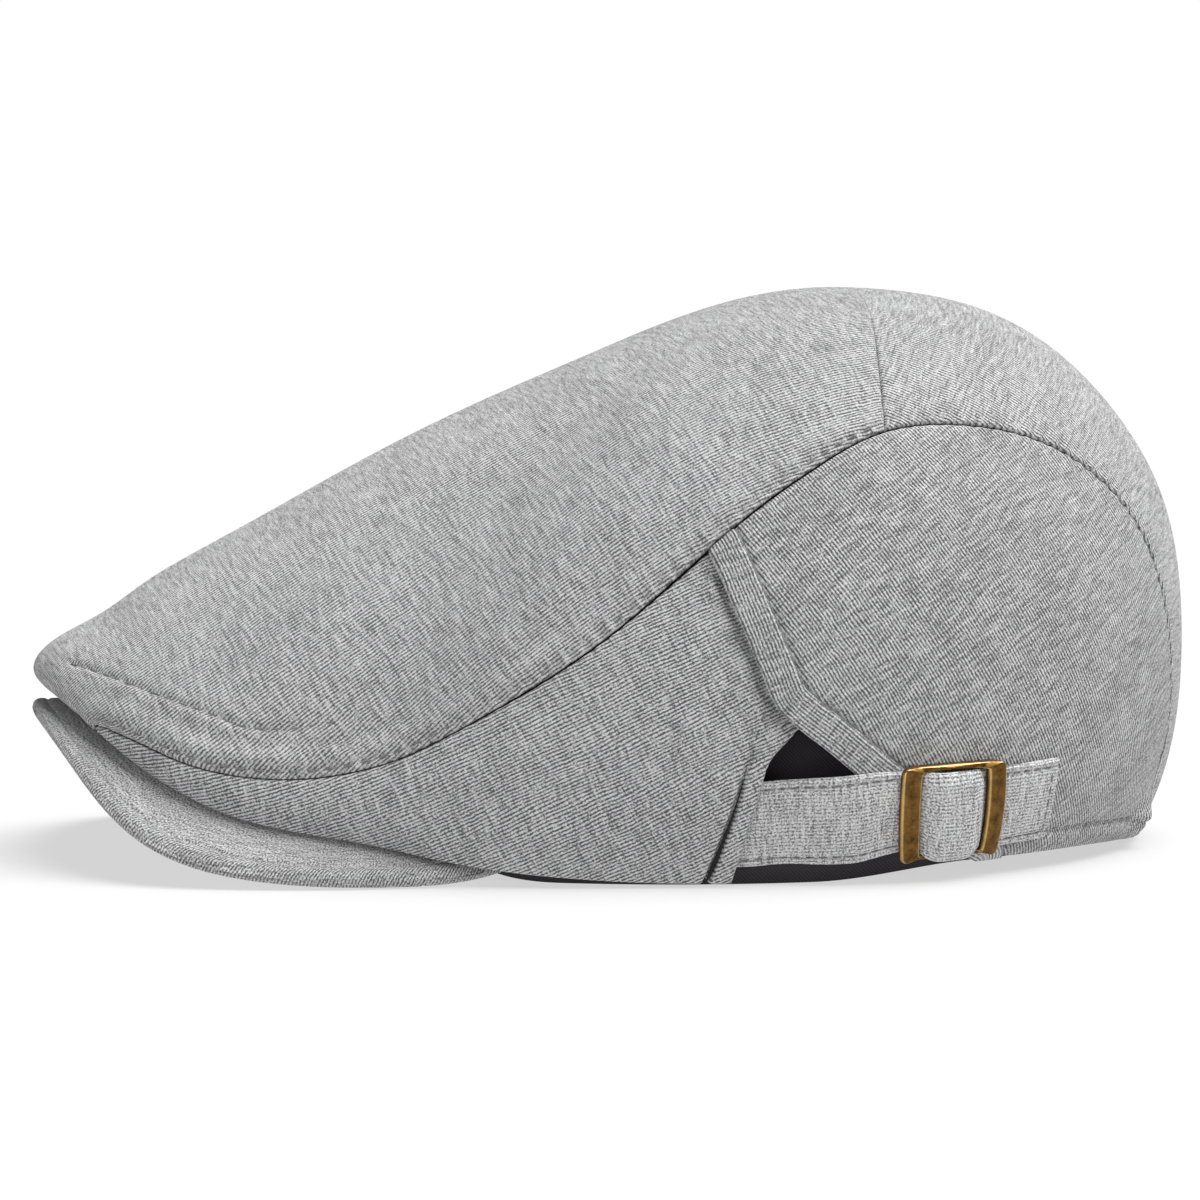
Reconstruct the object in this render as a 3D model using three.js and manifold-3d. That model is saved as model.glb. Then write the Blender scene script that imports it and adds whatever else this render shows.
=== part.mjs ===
// Flat cap in grey jersey: crown panels, an arched brim, an inner band and two side straps with buckles.
// Millimetres, +Z up, the brim towards -X, the wearer's left side towards -Y, the table at z = 0.
// The head opening is centred on x = 0 while building, and the finished group is centred at the end.
import * as THREE from "three";
import Module from "manifold-3d";

const wasm = await Module();
wasm.setup();

// Head opening and inner band
const HEAD_LENGTH = 207.4;
const HEAD_WIDTH = 162.4;
const BAND_HEIGHT = 36;
const BAND_WALL = 1.5;
const BAND_BINDING = 2.8;
const BAND_BINDING_HEIGHT = 5;

// Cloth and the clearances between pieces
const PANEL_WALL = 1.6;
const STRAP_THICKNESS = 1.8;
const LAYER_GAP = 0.3;
const LAP_GAP = 0.9;
const SEAM_GAP = 0.5;
const BAND_CLEARANCE = PANEL_WALL + STRAP_THICKNESS + LAP_GAP + LAYER_GAP;

// Brim: from its tip to its tails, across, and its arch
const BRIM_LENGTH = 107.5;
const BRIM_WIDTH = 156;
const BRIM_THICKNESS = 4;
const BRIM_RISE = 32.6;
const BRIM_REACH = 58.8;
const BRIM_SHOW = 9;
const BRIM_REST_GAP = 0.5;
const BRIM_WIDEST = 0.753;
const BRIM_FULLNESS = 0.833;
const BRIM_TAIL_TAPER = 0.085;
const BRIM_TAIL_TURN = 120;
const ARCH_SHOULDER = 2.2;
const ARCH_FLARE = 1.4;

// Crown
const CAP_HEIGHT = 135;
const PEAK_SET_BACK = 36;
const CROWN_BULGE = 10;
const HEM_WAVE = 3.5;
const LAP_EASE_START = 12;
const LAP_EASE_END = 4;
const FRONT_PANEL_TIP = 163;

// Side strap and its slide buckle
const STRAP_WIDTH = 19.6;
const STRAP_TAB = 17;
const BUCKLE_LENGTH = 25.8;
const BUCKLE_BAR = 4.6;
const BUCKLE_MIDDLE_BAR = 3;
const BUCKLE_RAIL = 1.4;
const BUCKLE_METAL = 1.5;
const BUCKLE_CLEARANCE = 0.4;
const STRAP_CROSSOVER = 10.3;
const STRAP_OVER_TURN = 99;
const STRAP_UNDER_TURN = 112;

// Facets
const SEAM_STEPS = { tip: 4, front: 24, lap: 2, top: 10, back: 5, rear: 10 };
const ACROSS_STEPS = 16;
const SIDE_STEPS = 9;
const BRIM_STEPS = { around: 44, across: 4 };
const BAND_STEPS = 64;
const STRAP_STEPS = { along: 50, across: 3 };
const BUCKLE_FACET = 5;

const DEGREE = Math.PI / 180;
const FLOOR = 0;

// Brim outline

const brimTip = -HEAD_LENGTH / 2 - BRIM_REACH;
const brimWidestX = brimTip + BRIM_WIDEST * BRIM_LENGTH;

// Brim edge at a turn in degrees: 0 at the tip, 90 at the widest place, more along the tails.
function brimEdge(turn) {
  const side = Math.sign(turn);
  const size = Math.abs(turn);
  const halfWidth = BRIM_WIDTH / 2;
  if (size <= 90) {
    const reach = Math.pow(Math.cos(size * DEGREE), BRIM_FULLNESS);
    return new THREE.Vector2(
      brimWidestX - BRIM_WIDEST * BRIM_LENGTH * reach,
      side * halfWidth * Math.sin(size * DEGREE),
    );
  }
  const tail = (size - 90) / (BRIM_TAIL_TURN - 90);
  return new THREE.Vector2(
    brimWidestX + (1 - BRIM_WIDEST) * BRIM_LENGTH * tail,
    side * halfWidth * (1 - BRIM_TAIL_TAPER * tail * tail),
  );
}

// Unit vector out of the brim's outline, in plan.
function brimOutward(turn) {
  const along = brimEdge(turn + 0.1).sub(brimEdge(turn - 0.1));
  return new THREE.Vector2(-along.y, along.x).normalize();
}

function brimTop(y) {
  const across = Math.min(Math.abs(y) / (BRIM_WIDTH / 2), 1);
  const arch = Math.pow(1 - Math.pow(across, ARCH_SHOULDER), ARCH_FLARE);
  return FLOOR + BRIM_THICKNESS + BRIM_RISE * arch;
}

// Head ellipse: the band's outer face. 0 degrees at the back, 180 at the forehead.

function headPoint(turn, out = 0) {
  const c = Math.cos(turn * DEGREE);
  const s = Math.sin(turn * DEGREE);
  const normal = new THREE.Vector2(c * HEAD_WIDTH, s * HEAD_LENGTH).normalize();
  return new THREE.Vector2((c * HEAD_LENGTH) / 2, (s * HEAD_WIDTH) / 2).addScaledVector(normal, out);
}

// Crown surface
// Each row is one line up the crown, from its hem to the peak, in half turns from the back to the nose.
// seat and turn place the hem by the head ellipse or by the brim's edge, and step is the share of the
// clearance there. lift is a share of the hem's wave, roll a share of the bulge. The heights up1 to up3
// are shares of the cap's height, and in2 to in4 are shares of the way in to the peak.

const CROWN_ROWS = [
  {
    seat: "head", turn: 0, step: 1.0, lift: 0.14,
    roll: 1.3, up1: 0.163, in2: -0.31, up2: 0.489, in3: -0.04, up3: 0.881, in4: 0.34,
  },
  {
    seat: "head", turn: 36, step: 1.0, lift: 1.0,
    roll: 1.2, up1: 0.163, in2: -0.24, up2: 0.474, in3: -0.03, up3: 0.874, in4: 0.36,
  },
  {
    seat: "head", turn: 67.5, step: 1.1, lift: 0.86,
    roll: 1.0, up1: 0.148, in2: -0.17, up2: 0.444, in3: 0.01, up3: 0.852, in4: 0.4,
  },
  {
    seat: "head", turn: 94, step: 1.1, lift: 0.14,
    roll: 0.8, up1: 0.133, in2: -0.11, up2: 0.415, in3: 0.05, up3: 0.822, in4: 0.46,
  },
  {
    seat: "head", turn: 121, step: 2.35, lift: 0.91,
    roll: 0.8, up1: 0.133, in2: -0.06, up2: 0.356, in3: 0.14, up3: 0.741, in4: 0.52,
  },
  {
    seat: "brim", turn: 87, step: 0.93, lift: 0,
    roll: 1.1, up1: 0.148, in2: 0.0, up2: 0.311, in3: 0.21, up3: 0.681, in4: 0.58,
  },
  {
    seat: "brim", turn: 64.4, step: 1.2, lift: 0,
    roll: 1.2, up1: 0.193, in2: 0.03, up2: 0.319, in3: 0.27, up3: 0.644, in4: 0.62,
  },
  {
    seat: "brim", turn: 39.6, step: 1.07, lift: 0,
    roll: 1.4, up1: 0.259, in2: 0.03, up2: 0.363, in3: 0.32, up3: 0.637, in4: 0.66,
  },
  {
    seat: "brim", turn: 18.8, step: 1.03, lift: 0,
    roll: 2.2, up1: 0.326, in2: 0.02, up2: 0.4, in3: 0.34, up3: 0.644, in4: 0.69,
  },
  {
    seat: "brim", turn: 0, step: 0.95, lift: 0,
    roll: 2.6, up1: 0.356, in2: 0.01, up2: 0.422, in3: 0.35, up3: 0.652, in4: 0.7,
  },
];
const ROW_FIELDS = ["x", "y", "z", "roll", "up1", "in2", "up2", "in3", "up3", "in4"];

function rowSizes(row) {
  const onBrim = row.seat === "brim";
  const plan = onBrim
    ? brimEdge(row.turn).addScaledVector(brimOutward(row.turn), -row.step * BRIM_SHOW)
    : headPoint(row.turn, row.step * BAND_CLEARANCE);
  return {
    x: plan.x,
    y: plan.y,
    z: (onBrim ? brimTop(plan.y) + BRIM_REST_GAP : FLOOR) + row.lift * HEM_WAVE,
    roll: row.roll * CROWN_BULGE,
    up1: row.up1 * CAP_HEIGHT,
    in2: row.in2,
    up2: row.up2 * CAP_HEIGHT,
    in3: row.in3,
    up3: row.up3 * CAP_HEIGHT,
    in4: row.in4,
  };
}

const halfRing = CROWN_ROWS.map(rowSizes);
const mirrored = halfRing.slice(1, -1).reverse().map((row) => ({ ...row, y: -row.y }));
const ring = halfRing.concat(mirrored);
const halfSteps = CROWN_ROWS.length - 1;
const peak = new THREE.Vector3(PEAK_SET_BACK, 0, CAP_HEIGHT);

// Values that a cyclic cubic B-spline needs at its knots to pass through the given ones.
function splinePulls(values) {
  const count = values.length;
  let pulls = values.slice();
  for (let pass = 0; pass < 60; pass++) {
    const last = pulls;
    pulls = values.map((v, i) => (6 * v - last[(i + count - 1) % count] - last[(i + 1) % count]) / 4);
  }
  return pulls;
}

const ringPulls = Object.fromEntries(ROW_FIELDS.map((f) => [f, splinePulls(ring.map((row) => row[f]))]));

function rowAt(place) {
  const count = ring.length;
  const from = Math.floor(place);
  const f = place - from;
  const weights = [
    (1 - f) ** 3 / 6,
    (3 * f ** 3 - 6 * f ** 2 + 4) / 6,
    (-3 * f ** 3 + 3 * f ** 2 + 3 * f + 1) / 6,
    f ** 3 / 6,
  ];
  const row = {};
  for (const field of ROW_FIELDS) {
    const pulls = ringPulls[field];
    row[field] = weights.reduce((sum, w, k) => sum + w * pulls[(from + k - 1 + 2 * count) % count], 0);
  }
  return row;
}

// Each row climbs straight towards the peak in plan, so its direction from the peak finds its place.
const FINE_STEPS = 720;
const fineTurns = Array.from({ length: FINE_STEPS + 1 }, (_, i) => {
  const row = rowAt((i / FINE_STEPS) * halfSteps);
  return Math.abs(Math.atan2(row.y, row.x - peak.x));
});

function placeAtTurn(turn) {
  const size = Math.abs(turn);
  let low = 0;
  let high = FINE_STEPS;
  while (high - low > 1) {
    const middle = (low + high) >> 1;
    if (fineTurns[middle] > size) {
      high = middle;
    } else {
      low = middle;
    }
  }
  const share = (size - fineTurns[low]) / (fineTurns[high] - fineTurns[low]);
  return (Math.sign(turn) * (low + share) * halfSteps) / FINE_STEPS;
}

// A point of the crown. (back, side) lies on a disc of radius 1: its rim is the hem, its centre the peak,
// and its directions are the ones seen from above the peak.
function crownPoint({ x: back, y: side }) {
  const climb = 1 - Math.hypot(back, side);
  const row = rowAt(placeAtTurn(Math.atan2(side, back)));
  const run = new THREE.Vector2(peak.x - row.x, peak.y - row.y);
  const inward = run.clone().normalize();
  const pulls = [
    [row.x, row.y, row.z],
    [row.x - inward.x * row.roll, row.y - inward.y * row.roll, row.up1],
    [row.x + run.x * row.in2, row.y + run.y * row.in2, row.up2],
    [row.x + run.x * row.in3, row.y + run.y * row.in3, row.up3],
    [row.x + run.x * row.in4, row.y + run.y * row.in4, peak.z],
    [peak.x, peak.y, peak.z],
  ];
  const binomial = [1, 5, 10, 10, 5, 1];
  const point = new THREE.Vector3();
  pulls.forEach((pull, k) => {
    const weight = binomial[k] * climb ** k * (1 - climb) ** (5 - k);
    point.addScaledVector(new THREE.Vector3(...pull), weight);
  });
  return point;
}

function crownNormal({ x, y }) {
  const step = 0.002;
  const back = crownPoint({ x: x + step, y }).sub(crownPoint({ x: x - step, y }));
  const side = crownPoint({ x, y: y + step }).sub(crownPoint({ x, y: y - step }));
  return back.cross(side).normalize();
}

// Seams, as points of the disc on one side of the cap: shares of the disc's radius

const MAIN_SEAM = [
  { back: -0.985, side: 0.172 },
  { back: -0.9, side: 0.175 },
  { back: -0.85, side: 0.215 },
  { back: -0.812, side: 0.288 },
  { back: -0.755, side: 0.347 },
  { back: -0.68, side: 0.387 },
  { back: -0.6, side: 0.415 },
  { back: -0.47, side: 0.45 },
  { back: -0.37, side: 0.457 },
  { back: -0.268, side: 0.441, joins: "lap" },
  { back: -0.145, side: 0.414 },
  { back: -0.026, side: 0.381, joins: "cross" },
  { back: 0.12, side: 0.367 },
  { back: 0.29, side: 0.342 },
  { back: 0.45, side: 0.323, joins: "rear" },
  { back: 0.597, side: 0.328 },
  { back: 0.72, side: 0.352 },
  { back: 0.81, side: 0.41 },
  { back: 0.872, side: 0.489 },
];
const CROSS_SEAM = [
  { back: -0.026, side: 0.381 },
  { back: -0.018, side: 0.297 },
  { back: -0.006, side: 0.16 },
  { back: 0, side: 0 },
];
const LAP_EDGE = [
  { back: -0.268, side: 0.441 },
  { back: -0.269, side: 0.511 },
  { back: -0.267, side: 0.58 },
  { back: -0.2655, side: 0.64 },
  { back: -0.262, side: 0.664 },
  { back: -0.249, side: 0.688 },
  { back: -0.18, side: 0.76 },
  { back: -0.118, side: 0.802 },
  { back: -0.01, side: 0.9 },
  { back: 0.089, side: 0.996 },
];
const FRONT_PANEL_END = [
  { back: -0.185, side: 0.5 },
  { back: -0.17, side: 0.58 },
  { back: -0.168, side: 0.64 },
  { back: -0.19, side: 0.69 },
  { back: -0.24, side: 0.712 },
  { back: -0.285, side: 0.728 },
  { back: -0.315, side: 0.757 },
  { back: -0.37, side: 0.812 },
  { back: -0.454, side: 0.891 },
];

const otherSide = (point) => new THREE.Vector2(point.x, -point.y);

function discPoints(rows) {
  return rows.map((row) => new THREE.Vector2(row.back, row.side));
}

function spaced(points, steps) {
  return new THREE.SplineCurve(points).getSpacedPoints(steps);
}

// The cross seam runs up one side to the peak and down the other.
function crossSeam() {
  const up = discPoints(CROSS_SEAM);
  const down = up.slice(0, -1).reverse().map(otherSide);
  return spaced(up.concat(down), ACROSS_STEPS);
}

function rimPoint(turn) {
  return new THREE.Vector2(Math.cos(turn * DEGREE), Math.sin(turn * DEGREE));
}

// The hem between two points of the disc, along its rim.
function hemArc(from, to, steps) {
  const start = Math.atan2(from.y, from.x);
  let sweep = Math.atan2(to.y, to.x) - start;
  if (Math.abs(sweep) > Math.PI) {
    sweep -= Math.sign(sweep) * 2 * Math.PI;
  }
  return Array.from({ length: steps + 1 }, (_, i) => {
    const turn = start + (sweep * i) / steps;
    return new THREE.Vector2(Math.cos(turn), Math.sin(turn));
  });
}

// The main seam in even steps between the places where other seams join it: neighbours share points.
function mainSeam() {
  const curve = new THREE.SplineCurve(discPoints(MAIN_SEAM));
  const joinAt = (name) => MAIN_SEAM.findIndex((row) => row.joins === name) / (MAIN_SEAM.length - 1);
  const stretches = [
    { from: 0, to: joinAt("lap"), steps: SEAM_STEPS.front },
    { from: joinAt("lap"), to: joinAt("cross"), steps: SEAM_STEPS.top },
    { from: joinAt("cross"), to: joinAt("rear"), steps: SEAM_STEPS.back },
    { from: joinAt("rear"), to: 1, steps: SEAM_STEPS.rear },
  ];
  const points = [curve.getPoint(0)];
  for (const { from, to, steps } of stretches) {
    const fine = Array.from({ length: 81 }, (_, i) => curve.getPoint(from + ((to - from) * i) / 80));
    const reach = [0];
    for (let i = 1; i < fine.length; i++) {
      reach.push(reach[i - 1] + fine[i].distanceTo(fine[i - 1]));
    }
    for (let k = 1; k <= steps; k++) {
      const want = (reach[80] * k) / steps;
      const i = Math.max(1, Math.min(80, reach.findIndex((r) => r >= want - 1e-9)));
      const share = (want - reach[i - 1]) / (reach[i] - reach[i - 1]);
      points.push(fine[i - 1].clone().lerp(fine[i], share));
    }
  }
  return points;
}

const seam = mainSeam();
const lapIndex = SEAM_STEPS.front;
const crossIndex = lapIndex + SEAM_STEPS.top;
const rearIndex = crossIndex + SEAM_STEPS.back;

// Solids from grids of points

function signedVolume(points, faces) {
  let total = 0;
  for (const [a, b, c] of faces) {
    total += points[a].dot(new THREE.Vector3().crossVectors(points[b], points[c]));
  }
  return total / 6;
}

function closedGeometry(points, faces) {
  if (signedVolume(points, faces) < 0) {
    faces.forEach((face) => face.reverse());
  }
  const geometry = new THREE.BufferGeometry();
  const numbers = points.flatMap((p) => p.toArray());
  geometry.setAttribute("position", new THREE.Float32BufferAttribute(numbers, 3));
  geometry.setIndex(faces.flat());
  geometry.computeVertexNormals();
  return geometry;
}

// A closed wall between two grids of the same size, one outside and one inside.
function wallGeometry(outside, inside) {
  const rows = outside.length;
  const columns = outside[0].length;
  const points = outside.flat().concat(inside.flat());
  const at = (i, j, layer) => layer * rows * columns + i * columns + j;
  const faces = [];
  const quad = (a, b, c, d) => faces.push([a, b, c], [a, c, d]);
  for (let i = 0; i + 1 < rows; i++) {
    for (let j = 0; j + 1 < columns; j++) {
      quad(at(i, j, 0), at(i + 1, j, 0), at(i + 1, j + 1, 0), at(i, j + 1, 0));
      quad(at(i, j, 1), at(i, j + 1, 1), at(i + 1, j + 1, 1), at(i + 1, j, 1));
    }
  }
  for (let i = 0; i + 1 < rows; i++) {
    quad(at(i, 0, 0), at(i, 0, 1), at(i + 1, 0, 1), at(i + 1, 0, 0));
    const k = columns - 1;
    quad(at(i, k, 0), at(i + 1, k, 0), at(i + 1, k, 1), at(i, k, 1));
  }
  for (let j = 0; j + 1 < columns; j++) {
    quad(at(0, j, 0), at(0, j + 1, 0), at(0, j + 1, 1), at(0, j, 1));
    const k = rows - 1;
    quad(at(k, j, 0), at(k, j, 1), at(k, j + 1, 1), at(k, j + 1, 0));
  }
  return closedGeometry(points, faces);
}

function clothMaterial(color, name) {
  const material = new THREE.MeshStandardMaterial({ color, roughness: 0.95, metalness: 0 });
  material.name = name;
  return material;
}

// Crown panels

// Points inside four boundary curves: low and high run from left to right, left and right from low to high.
function fillBetween({ low, high, left, right }) {
  const across = low.length - 1;
  const up = left.length - 1;
  return low.map((_, i) => {
    const a = i / across;
    return left.map((__, j) => {
      const b = j / up;
      const point = new THREE.Vector2();
      point.addScaledVector(low[i], 1 - b).addScaledVector(high[i], b);
      point.addScaledVector(left[j], 1 - a).addScaledVector(right[j], a);
      point.addScaledVector(low[0], -(1 - a) * (1 - b)).addScaledVector(low[across], -a * (1 - b));
      point.addScaledVector(high[0], -(1 - a) * b).addScaledVector(high[across], -a * b);
      return point;
    });
  });
}

// Draws the boundary in by half of the seam's gap.
function drawnIn(grid) {
  const rows = grid.length;
  const columns = grid[0].length;
  const pulled = (point, towards) => {
    const reach = crownPoint(point).distanceTo(crownPoint(towards));
    return towards.clone().sub(point).multiplyScalar(SEAM_GAP / 2 / reach);
  };
  return grid.map((line, i) =>
    line.map((point, j) => {
      const moved = point.clone();
      const inner = [
        i === 0 && grid[1][j],
        i === rows - 1 && grid[rows - 2][j],
        j === 0 && grid[i][1],
        j === columns - 1 && grid[i][columns - 2],
      ];
      inner.filter(Boolean).forEach((towards) => moved.add(pulled(point, towards)));
      return moved;
    }),
  );
}

// A panel's wall. sink gives how far below the crown's surface the cloth lies at a point.
function panelGeometry(sides, sink = () => 0) {
  const grid = drawnIn(fillBetween(sides));
  const layer = (depth) =>
    grid.map((line) =>
      line.map((point) => crownPoint(point).addScaledVector(crownNormal(point), -depth - sink(point))),
    );
  return wallGeometry(layer(0), layer(PANEL_WALL));
}

function topPanel() {
  const left = seam.slice(0, crossIndex + 1);
  const right = left.map(otherSide);
  const nose = hemArc(left[0], right[0], ACROSS_STEPS);
  nose[0] = left[0];
  nose[ACROSS_STEPS] = right[0];
  return panelGeometry({ low: nose, high: crossSeam(), left, right });
}

function backStrip() {
  const left = seam.slice(crossIndex).reverse();
  const right = left.map(otherSide);
  const hem = hemArc(left[0], right[0], ACROSS_STEPS);
  return panelGeometry({ low: hem, high: crossSeam(), left, right });
}

const lapCurve = spaced(discPoints(LAP_EDGE), 120);

// Distance in front of the rear panel's front edge, in millimetres; negative where that panel covers.
function aheadOfLap(point) {
  const here = crownPoint(point);
  let nearest = 0;
  let least = Infinity;
  lapCurve.forEach((edge, i) => {
    const reach = crownPoint(edge).distanceTo(here);
    if (reach < least) {
      least = reach;
      nearest = i;
    }
  });
  const i = Math.min(nearest, lapCurve.length - 2);
  const along = lapCurve[i + 1].clone().sub(lapCurve[i]);
  const away = point.clone().sub(lapCurve[i]);
  return along.cross(away) > 0 ? least : -least;
}

function frontPanel() {
  const high = seam.slice(SEAM_STEPS.tip, lapIndex + SEAM_STEPS.lap + 1).reverse();
  const steps = high.length - 1;
  const end = discPoints(FRONT_PANEL_END);
  const left = spaced([high[0], ...end], SIDE_STEPS).reverse();
  const low = hemArc(left[0], rimPoint(FRONT_PANEL_TIP), steps);
  low[0] = left[0];
  const right = spaced([low[steps], high[steps]], SIDE_STEPS);
  const sink = (point) => {
    const ease = THREE.MathUtils.smoothstep(-aheadOfLap(point), -LAP_EASE_START, -LAP_EASE_END);
    return ease * (PANEL_WALL + LAP_GAP);
  };
  return panelGeometry({ low, high, left, right }, sink);
}

function rearPanel() {
  const high = seam.slice(lapIndex, rearIndex + 1);
  const right = seam.slice(rearIndex).reverse();
  const left = spaced(discPoints(LAP_EDGE), SEAM_STEPS.rear).reverse();
  const low = hemArc(left[0], right[0], high.length - 1);
  low[0] = left[0];
  low[low.length - 1] = right[0];
  return panelGeometry({ low, high, left, right });
}

// Brim

function brimGeometry() {
  const { around, across } = BRIM_STEPS;
  const headTurn = Math.acos((2 * brimEdge(BRIM_TAIL_TURN).x) / (HEAD_LENGTH + 2 * LAYER_GAP)) / DEGREE;
  const line = (i, depth) => {
    const share = (2 * i) / around - 1;
    const outer = brimEdge(share * BRIM_TAIL_TURN);
    const inner = headPoint(180 - share * (180 - headTurn), LAYER_GAP);
    return Array.from({ length: across + 1 }, (_, j) => {
      const plan = inner.clone().lerp(outer, j / across);
      return new THREE.Vector3(plan.x, plan.y, brimTop(plan.y) - depth);
    });
  };
  const layer = (depth) => Array.from({ length: around + 1 }, (_, i) => line(i, depth));
  return wallGeometry(layer(0), layer(BRIM_THICKNESS));
}

// Inner band: a closed ring with a thicker binding along its foot

function bandFoot(point) {
  return point.x < 0 ? brimTop(point.y) - BRIM_THICKNESS : FLOOR;
}

function bandGeometry() {
  const profile = [
    { out: 0, up: 0 },
    { out: 0, up: BAND_HEIGHT },
    { out: -BAND_WALL, up: BAND_HEIGHT },
    { out: -BAND_WALL, up: BAND_BINDING_HEIGHT + BAND_BINDING - BAND_WALL },
    { out: -BAND_BINDING, up: BAND_BINDING_HEIGHT },
    { out: -BAND_BINDING, up: 0 },
  ];
  const points = [];
  const faces = [];
  for (let i = 0; i < BAND_STEPS; i++) {
    const turn = (360 * i) / BAND_STEPS;
    const foot = bandFoot(headPoint(turn));
    for (const { out, up } of profile) {
      const plan = headPoint(turn, out);
      points.push(new THREE.Vector3(plan.x, plan.y, foot + up));
    }
  }
  const count = profile.length;
  for (let i = 0; i < BAND_STEPS; i++) {
    for (let k = 0; k < count; k++) {
      const a = i * count + k;
      const b = i * count + ((k + 1) % count);
      const c = ((i + 1) % BAND_STEPS) * count + ((k + 1) % count);
      const d = ((i + 1) % BAND_STEPS) * count + k;
      faces.push([a, b, c], [a, c, d]);
    }
  }
  return closedGeometry(points, faces);
}

// Side strap: a path over the crown from its loose end to its sewn end inside the front panel.
// turn is the direction from the peak in degrees from the back, climb a share of the way up to it.

const STRAP_PATH = [
  { turn: 65, climb: 0.12 },
  { turn: 76, climb: 0.117 },
  { turn: 94, climb: 0.12 },
  { turn: 103, climb: 0.115 },
  { turn: 114, climb: 0.115 },
  { turn: 127, climb: 0.117 },
];

const strapCurve = spaced(STRAP_PATH.map(({ turn, climb }) => new THREE.Vector2(turn, climb)), 240);
const strapDisc = ({ x: turn, y: climb }) =>
  new THREE.Vector2((1 - climb) * Math.cos(turn * DEGREE), (1 - climb) * Math.sin(turn * DEGREE));
const strapReach = [0];
for (let i = 1; i < strapCurve.length; i++) {
  const step = crownPoint(strapDisc(strapCurve[i])).distanceTo(crownPoint(strapDisc(strapCurve[i - 1])));
  strapReach.push(strapReach[i - 1] + step);
}
const strapLength = strapReach[strapReach.length - 1];

function strapPlace(along) {
  const ahead = strapReach.findIndex((r) => r >= along);
  const i = ahead < 0 ? strapReach.length - 1 : Math.max(1, ahead);
  const share = (along - strapReach[i - 1]) / (strapReach[i] - strapReach[i - 1]);
  return strapCurve[i - 1].clone().lerp(strapCurve[i], share);
}

function alongAtTurn(turn) {
  return strapReach[strapCurve.findIndex((place) => place.x >= turn)];
}

// A place on or above the crown, in millimetres along the strap, across it and out of the surface.
function strapPoint(along, across, out) {
  const place = strapPlace(along);
  const steps = 4;
  for (let k = 0; k < steps; k++) {
    const up = new THREE.Vector2(place.x, place.y + 0.005);
    const rise = crownPoint(strapDisc(up)).distanceTo(crownPoint(strapDisc(place))) / 0.005;
    place.y += across / steps / rise;
  }
  const disc = strapDisc(place);
  return crownPoint(disc).addScaledVector(crownNormal(disc), out);
}

const buckleMiddle = STRAP_TAB + BUCKLE_LENGTH / 2;
const outerLift = LAYER_GAP;
const innerLift = -PANEL_WALL - LAP_GAP - STRAP_THICKNESS;
const crossoverLift = outerLift + BUCKLE_METAL + LAYER_GAP;

// Height of the strap's inner face over the crown's surface.
function strapLift(along) {
  const { smoothstep } = THREE.MathUtils;
  const inside = smoothstep(along, alongAtTurn(STRAP_OVER_TURN), alongAtTurn(STRAP_UNDER_TURN));
  const offMiddle = Math.abs(along - buckleMiddle);
  const flatOver = BUCKLE_MIDDLE_BAR / 2 + LAYER_GAP;
  const over = 1 - smoothstep(offMiddle, flatOver, STRAP_CROSSOVER - BUCKLE_BAR / 2);
  return outerLift + inside * (innerLift - outerLift) + over * (crossoverLift - outerLift);
}

function strapGeometry() {
  const { along, across } = STRAP_STEPS;
  const layer = (extra) =>
    Array.from({ length: along + 1 }, (_, i) => {
      const reach = (strapLength * i) / along;
      return Array.from({ length: across + 1 }, (__, j) =>
        strapPoint(reach, STRAP_WIDTH * (j / across - 0.5), strapLift(reach) + extra),
      );
    });
  return wallGeometry(layer(STRAP_THICKNESS), layer(0));
}

// Slide buckle: two outer bars over the strap, a middle bar under it, and rails that join them,
// built flat as boxes along, across and out of the surface, then bent to the crown.

function buckleGeometry() {
  const opening = STRAP_WIDTH + 2 * BUCKLE_CLEARANCE;
  const full = opening + 2 * BUCKLE_RAIL;
  const barFoot = outerLift + STRAP_THICKNESS + LAYER_GAP;
  const top = barFoot + BUCKLE_METAL;
  const box = (length, width, low, high, along, across) => {
    const corner = [along - length / 2, across - width / 2, low];
    return wasm.Manifold.cube([length, width, high - low], false).translate(corner);
  };
  const endBar = BUCKLE_LENGTH / 2 - BUCKLE_BAR / 2;
  const pieces = [
    box(BUCKLE_BAR, full, barFoot, top, -endBar, 0),
    box(BUCKLE_BAR, full, barFoot, top, endBar, 0),
    box(BUCKLE_MIDDLE_BAR, full, outerLift, outerLift + BUCKLE_METAL, 0, 0),
    box(BUCKLE_LENGTH, BUCKLE_RAIL, outerLift, top, 0, (full - BUCKLE_RAIL) / 2),
    box(BUCKLE_LENGTH, BUCKLE_RAIL, outerLift, top, 0, -(full - BUCKLE_RAIL) / 2),
  ];
  const bent = wasm.Manifold.union(pieces)
    .refineToLength(BUCKLE_FACET)
    .warp((v) => {
      const place = strapPoint(buckleMiddle + v[0], v[1], v[2]);
      v[0] = place.x;
      v[1] = place.y;
      v[2] = place.z;
    });
  const { vertProperties, triVerts, numProp } = bent.getMesh();
  const points = [];
  for (let i = 0; i < vertProperties.length; i += numProp) {
    points.push(new THREE.Vector3(vertProperties[i], vertProperties[i + 1], vertProperties[i + 2]));
  }
  const faces = [];
  for (let i = 0; i < triVerts.length; i += 3) {
    faces.push([triVerts[i], triVerts[i + 1], triVerts[i + 2]]);
  }
  return closedGeometry(points, faces);
}

// Assembly

const jersey = clothMaterial(0xa9a9ac, "grey_jersey");
const brimCloth = clothMaterial(0xa2a2a5, "brim_jersey");
const strapCloth = clothMaterial(0xb2b2b5, "strap_jersey");
const bandCloth = clothMaterial(0x1d1c1f, "black_band");
const brass = new THREE.MeshStandardMaterial({ color: 0x8f6426, roughness: 0.35, metalness: 1 });
brass.name = "antique_brass";

const cap = new THREE.Group();
cap.name = "flat_cap";

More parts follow.
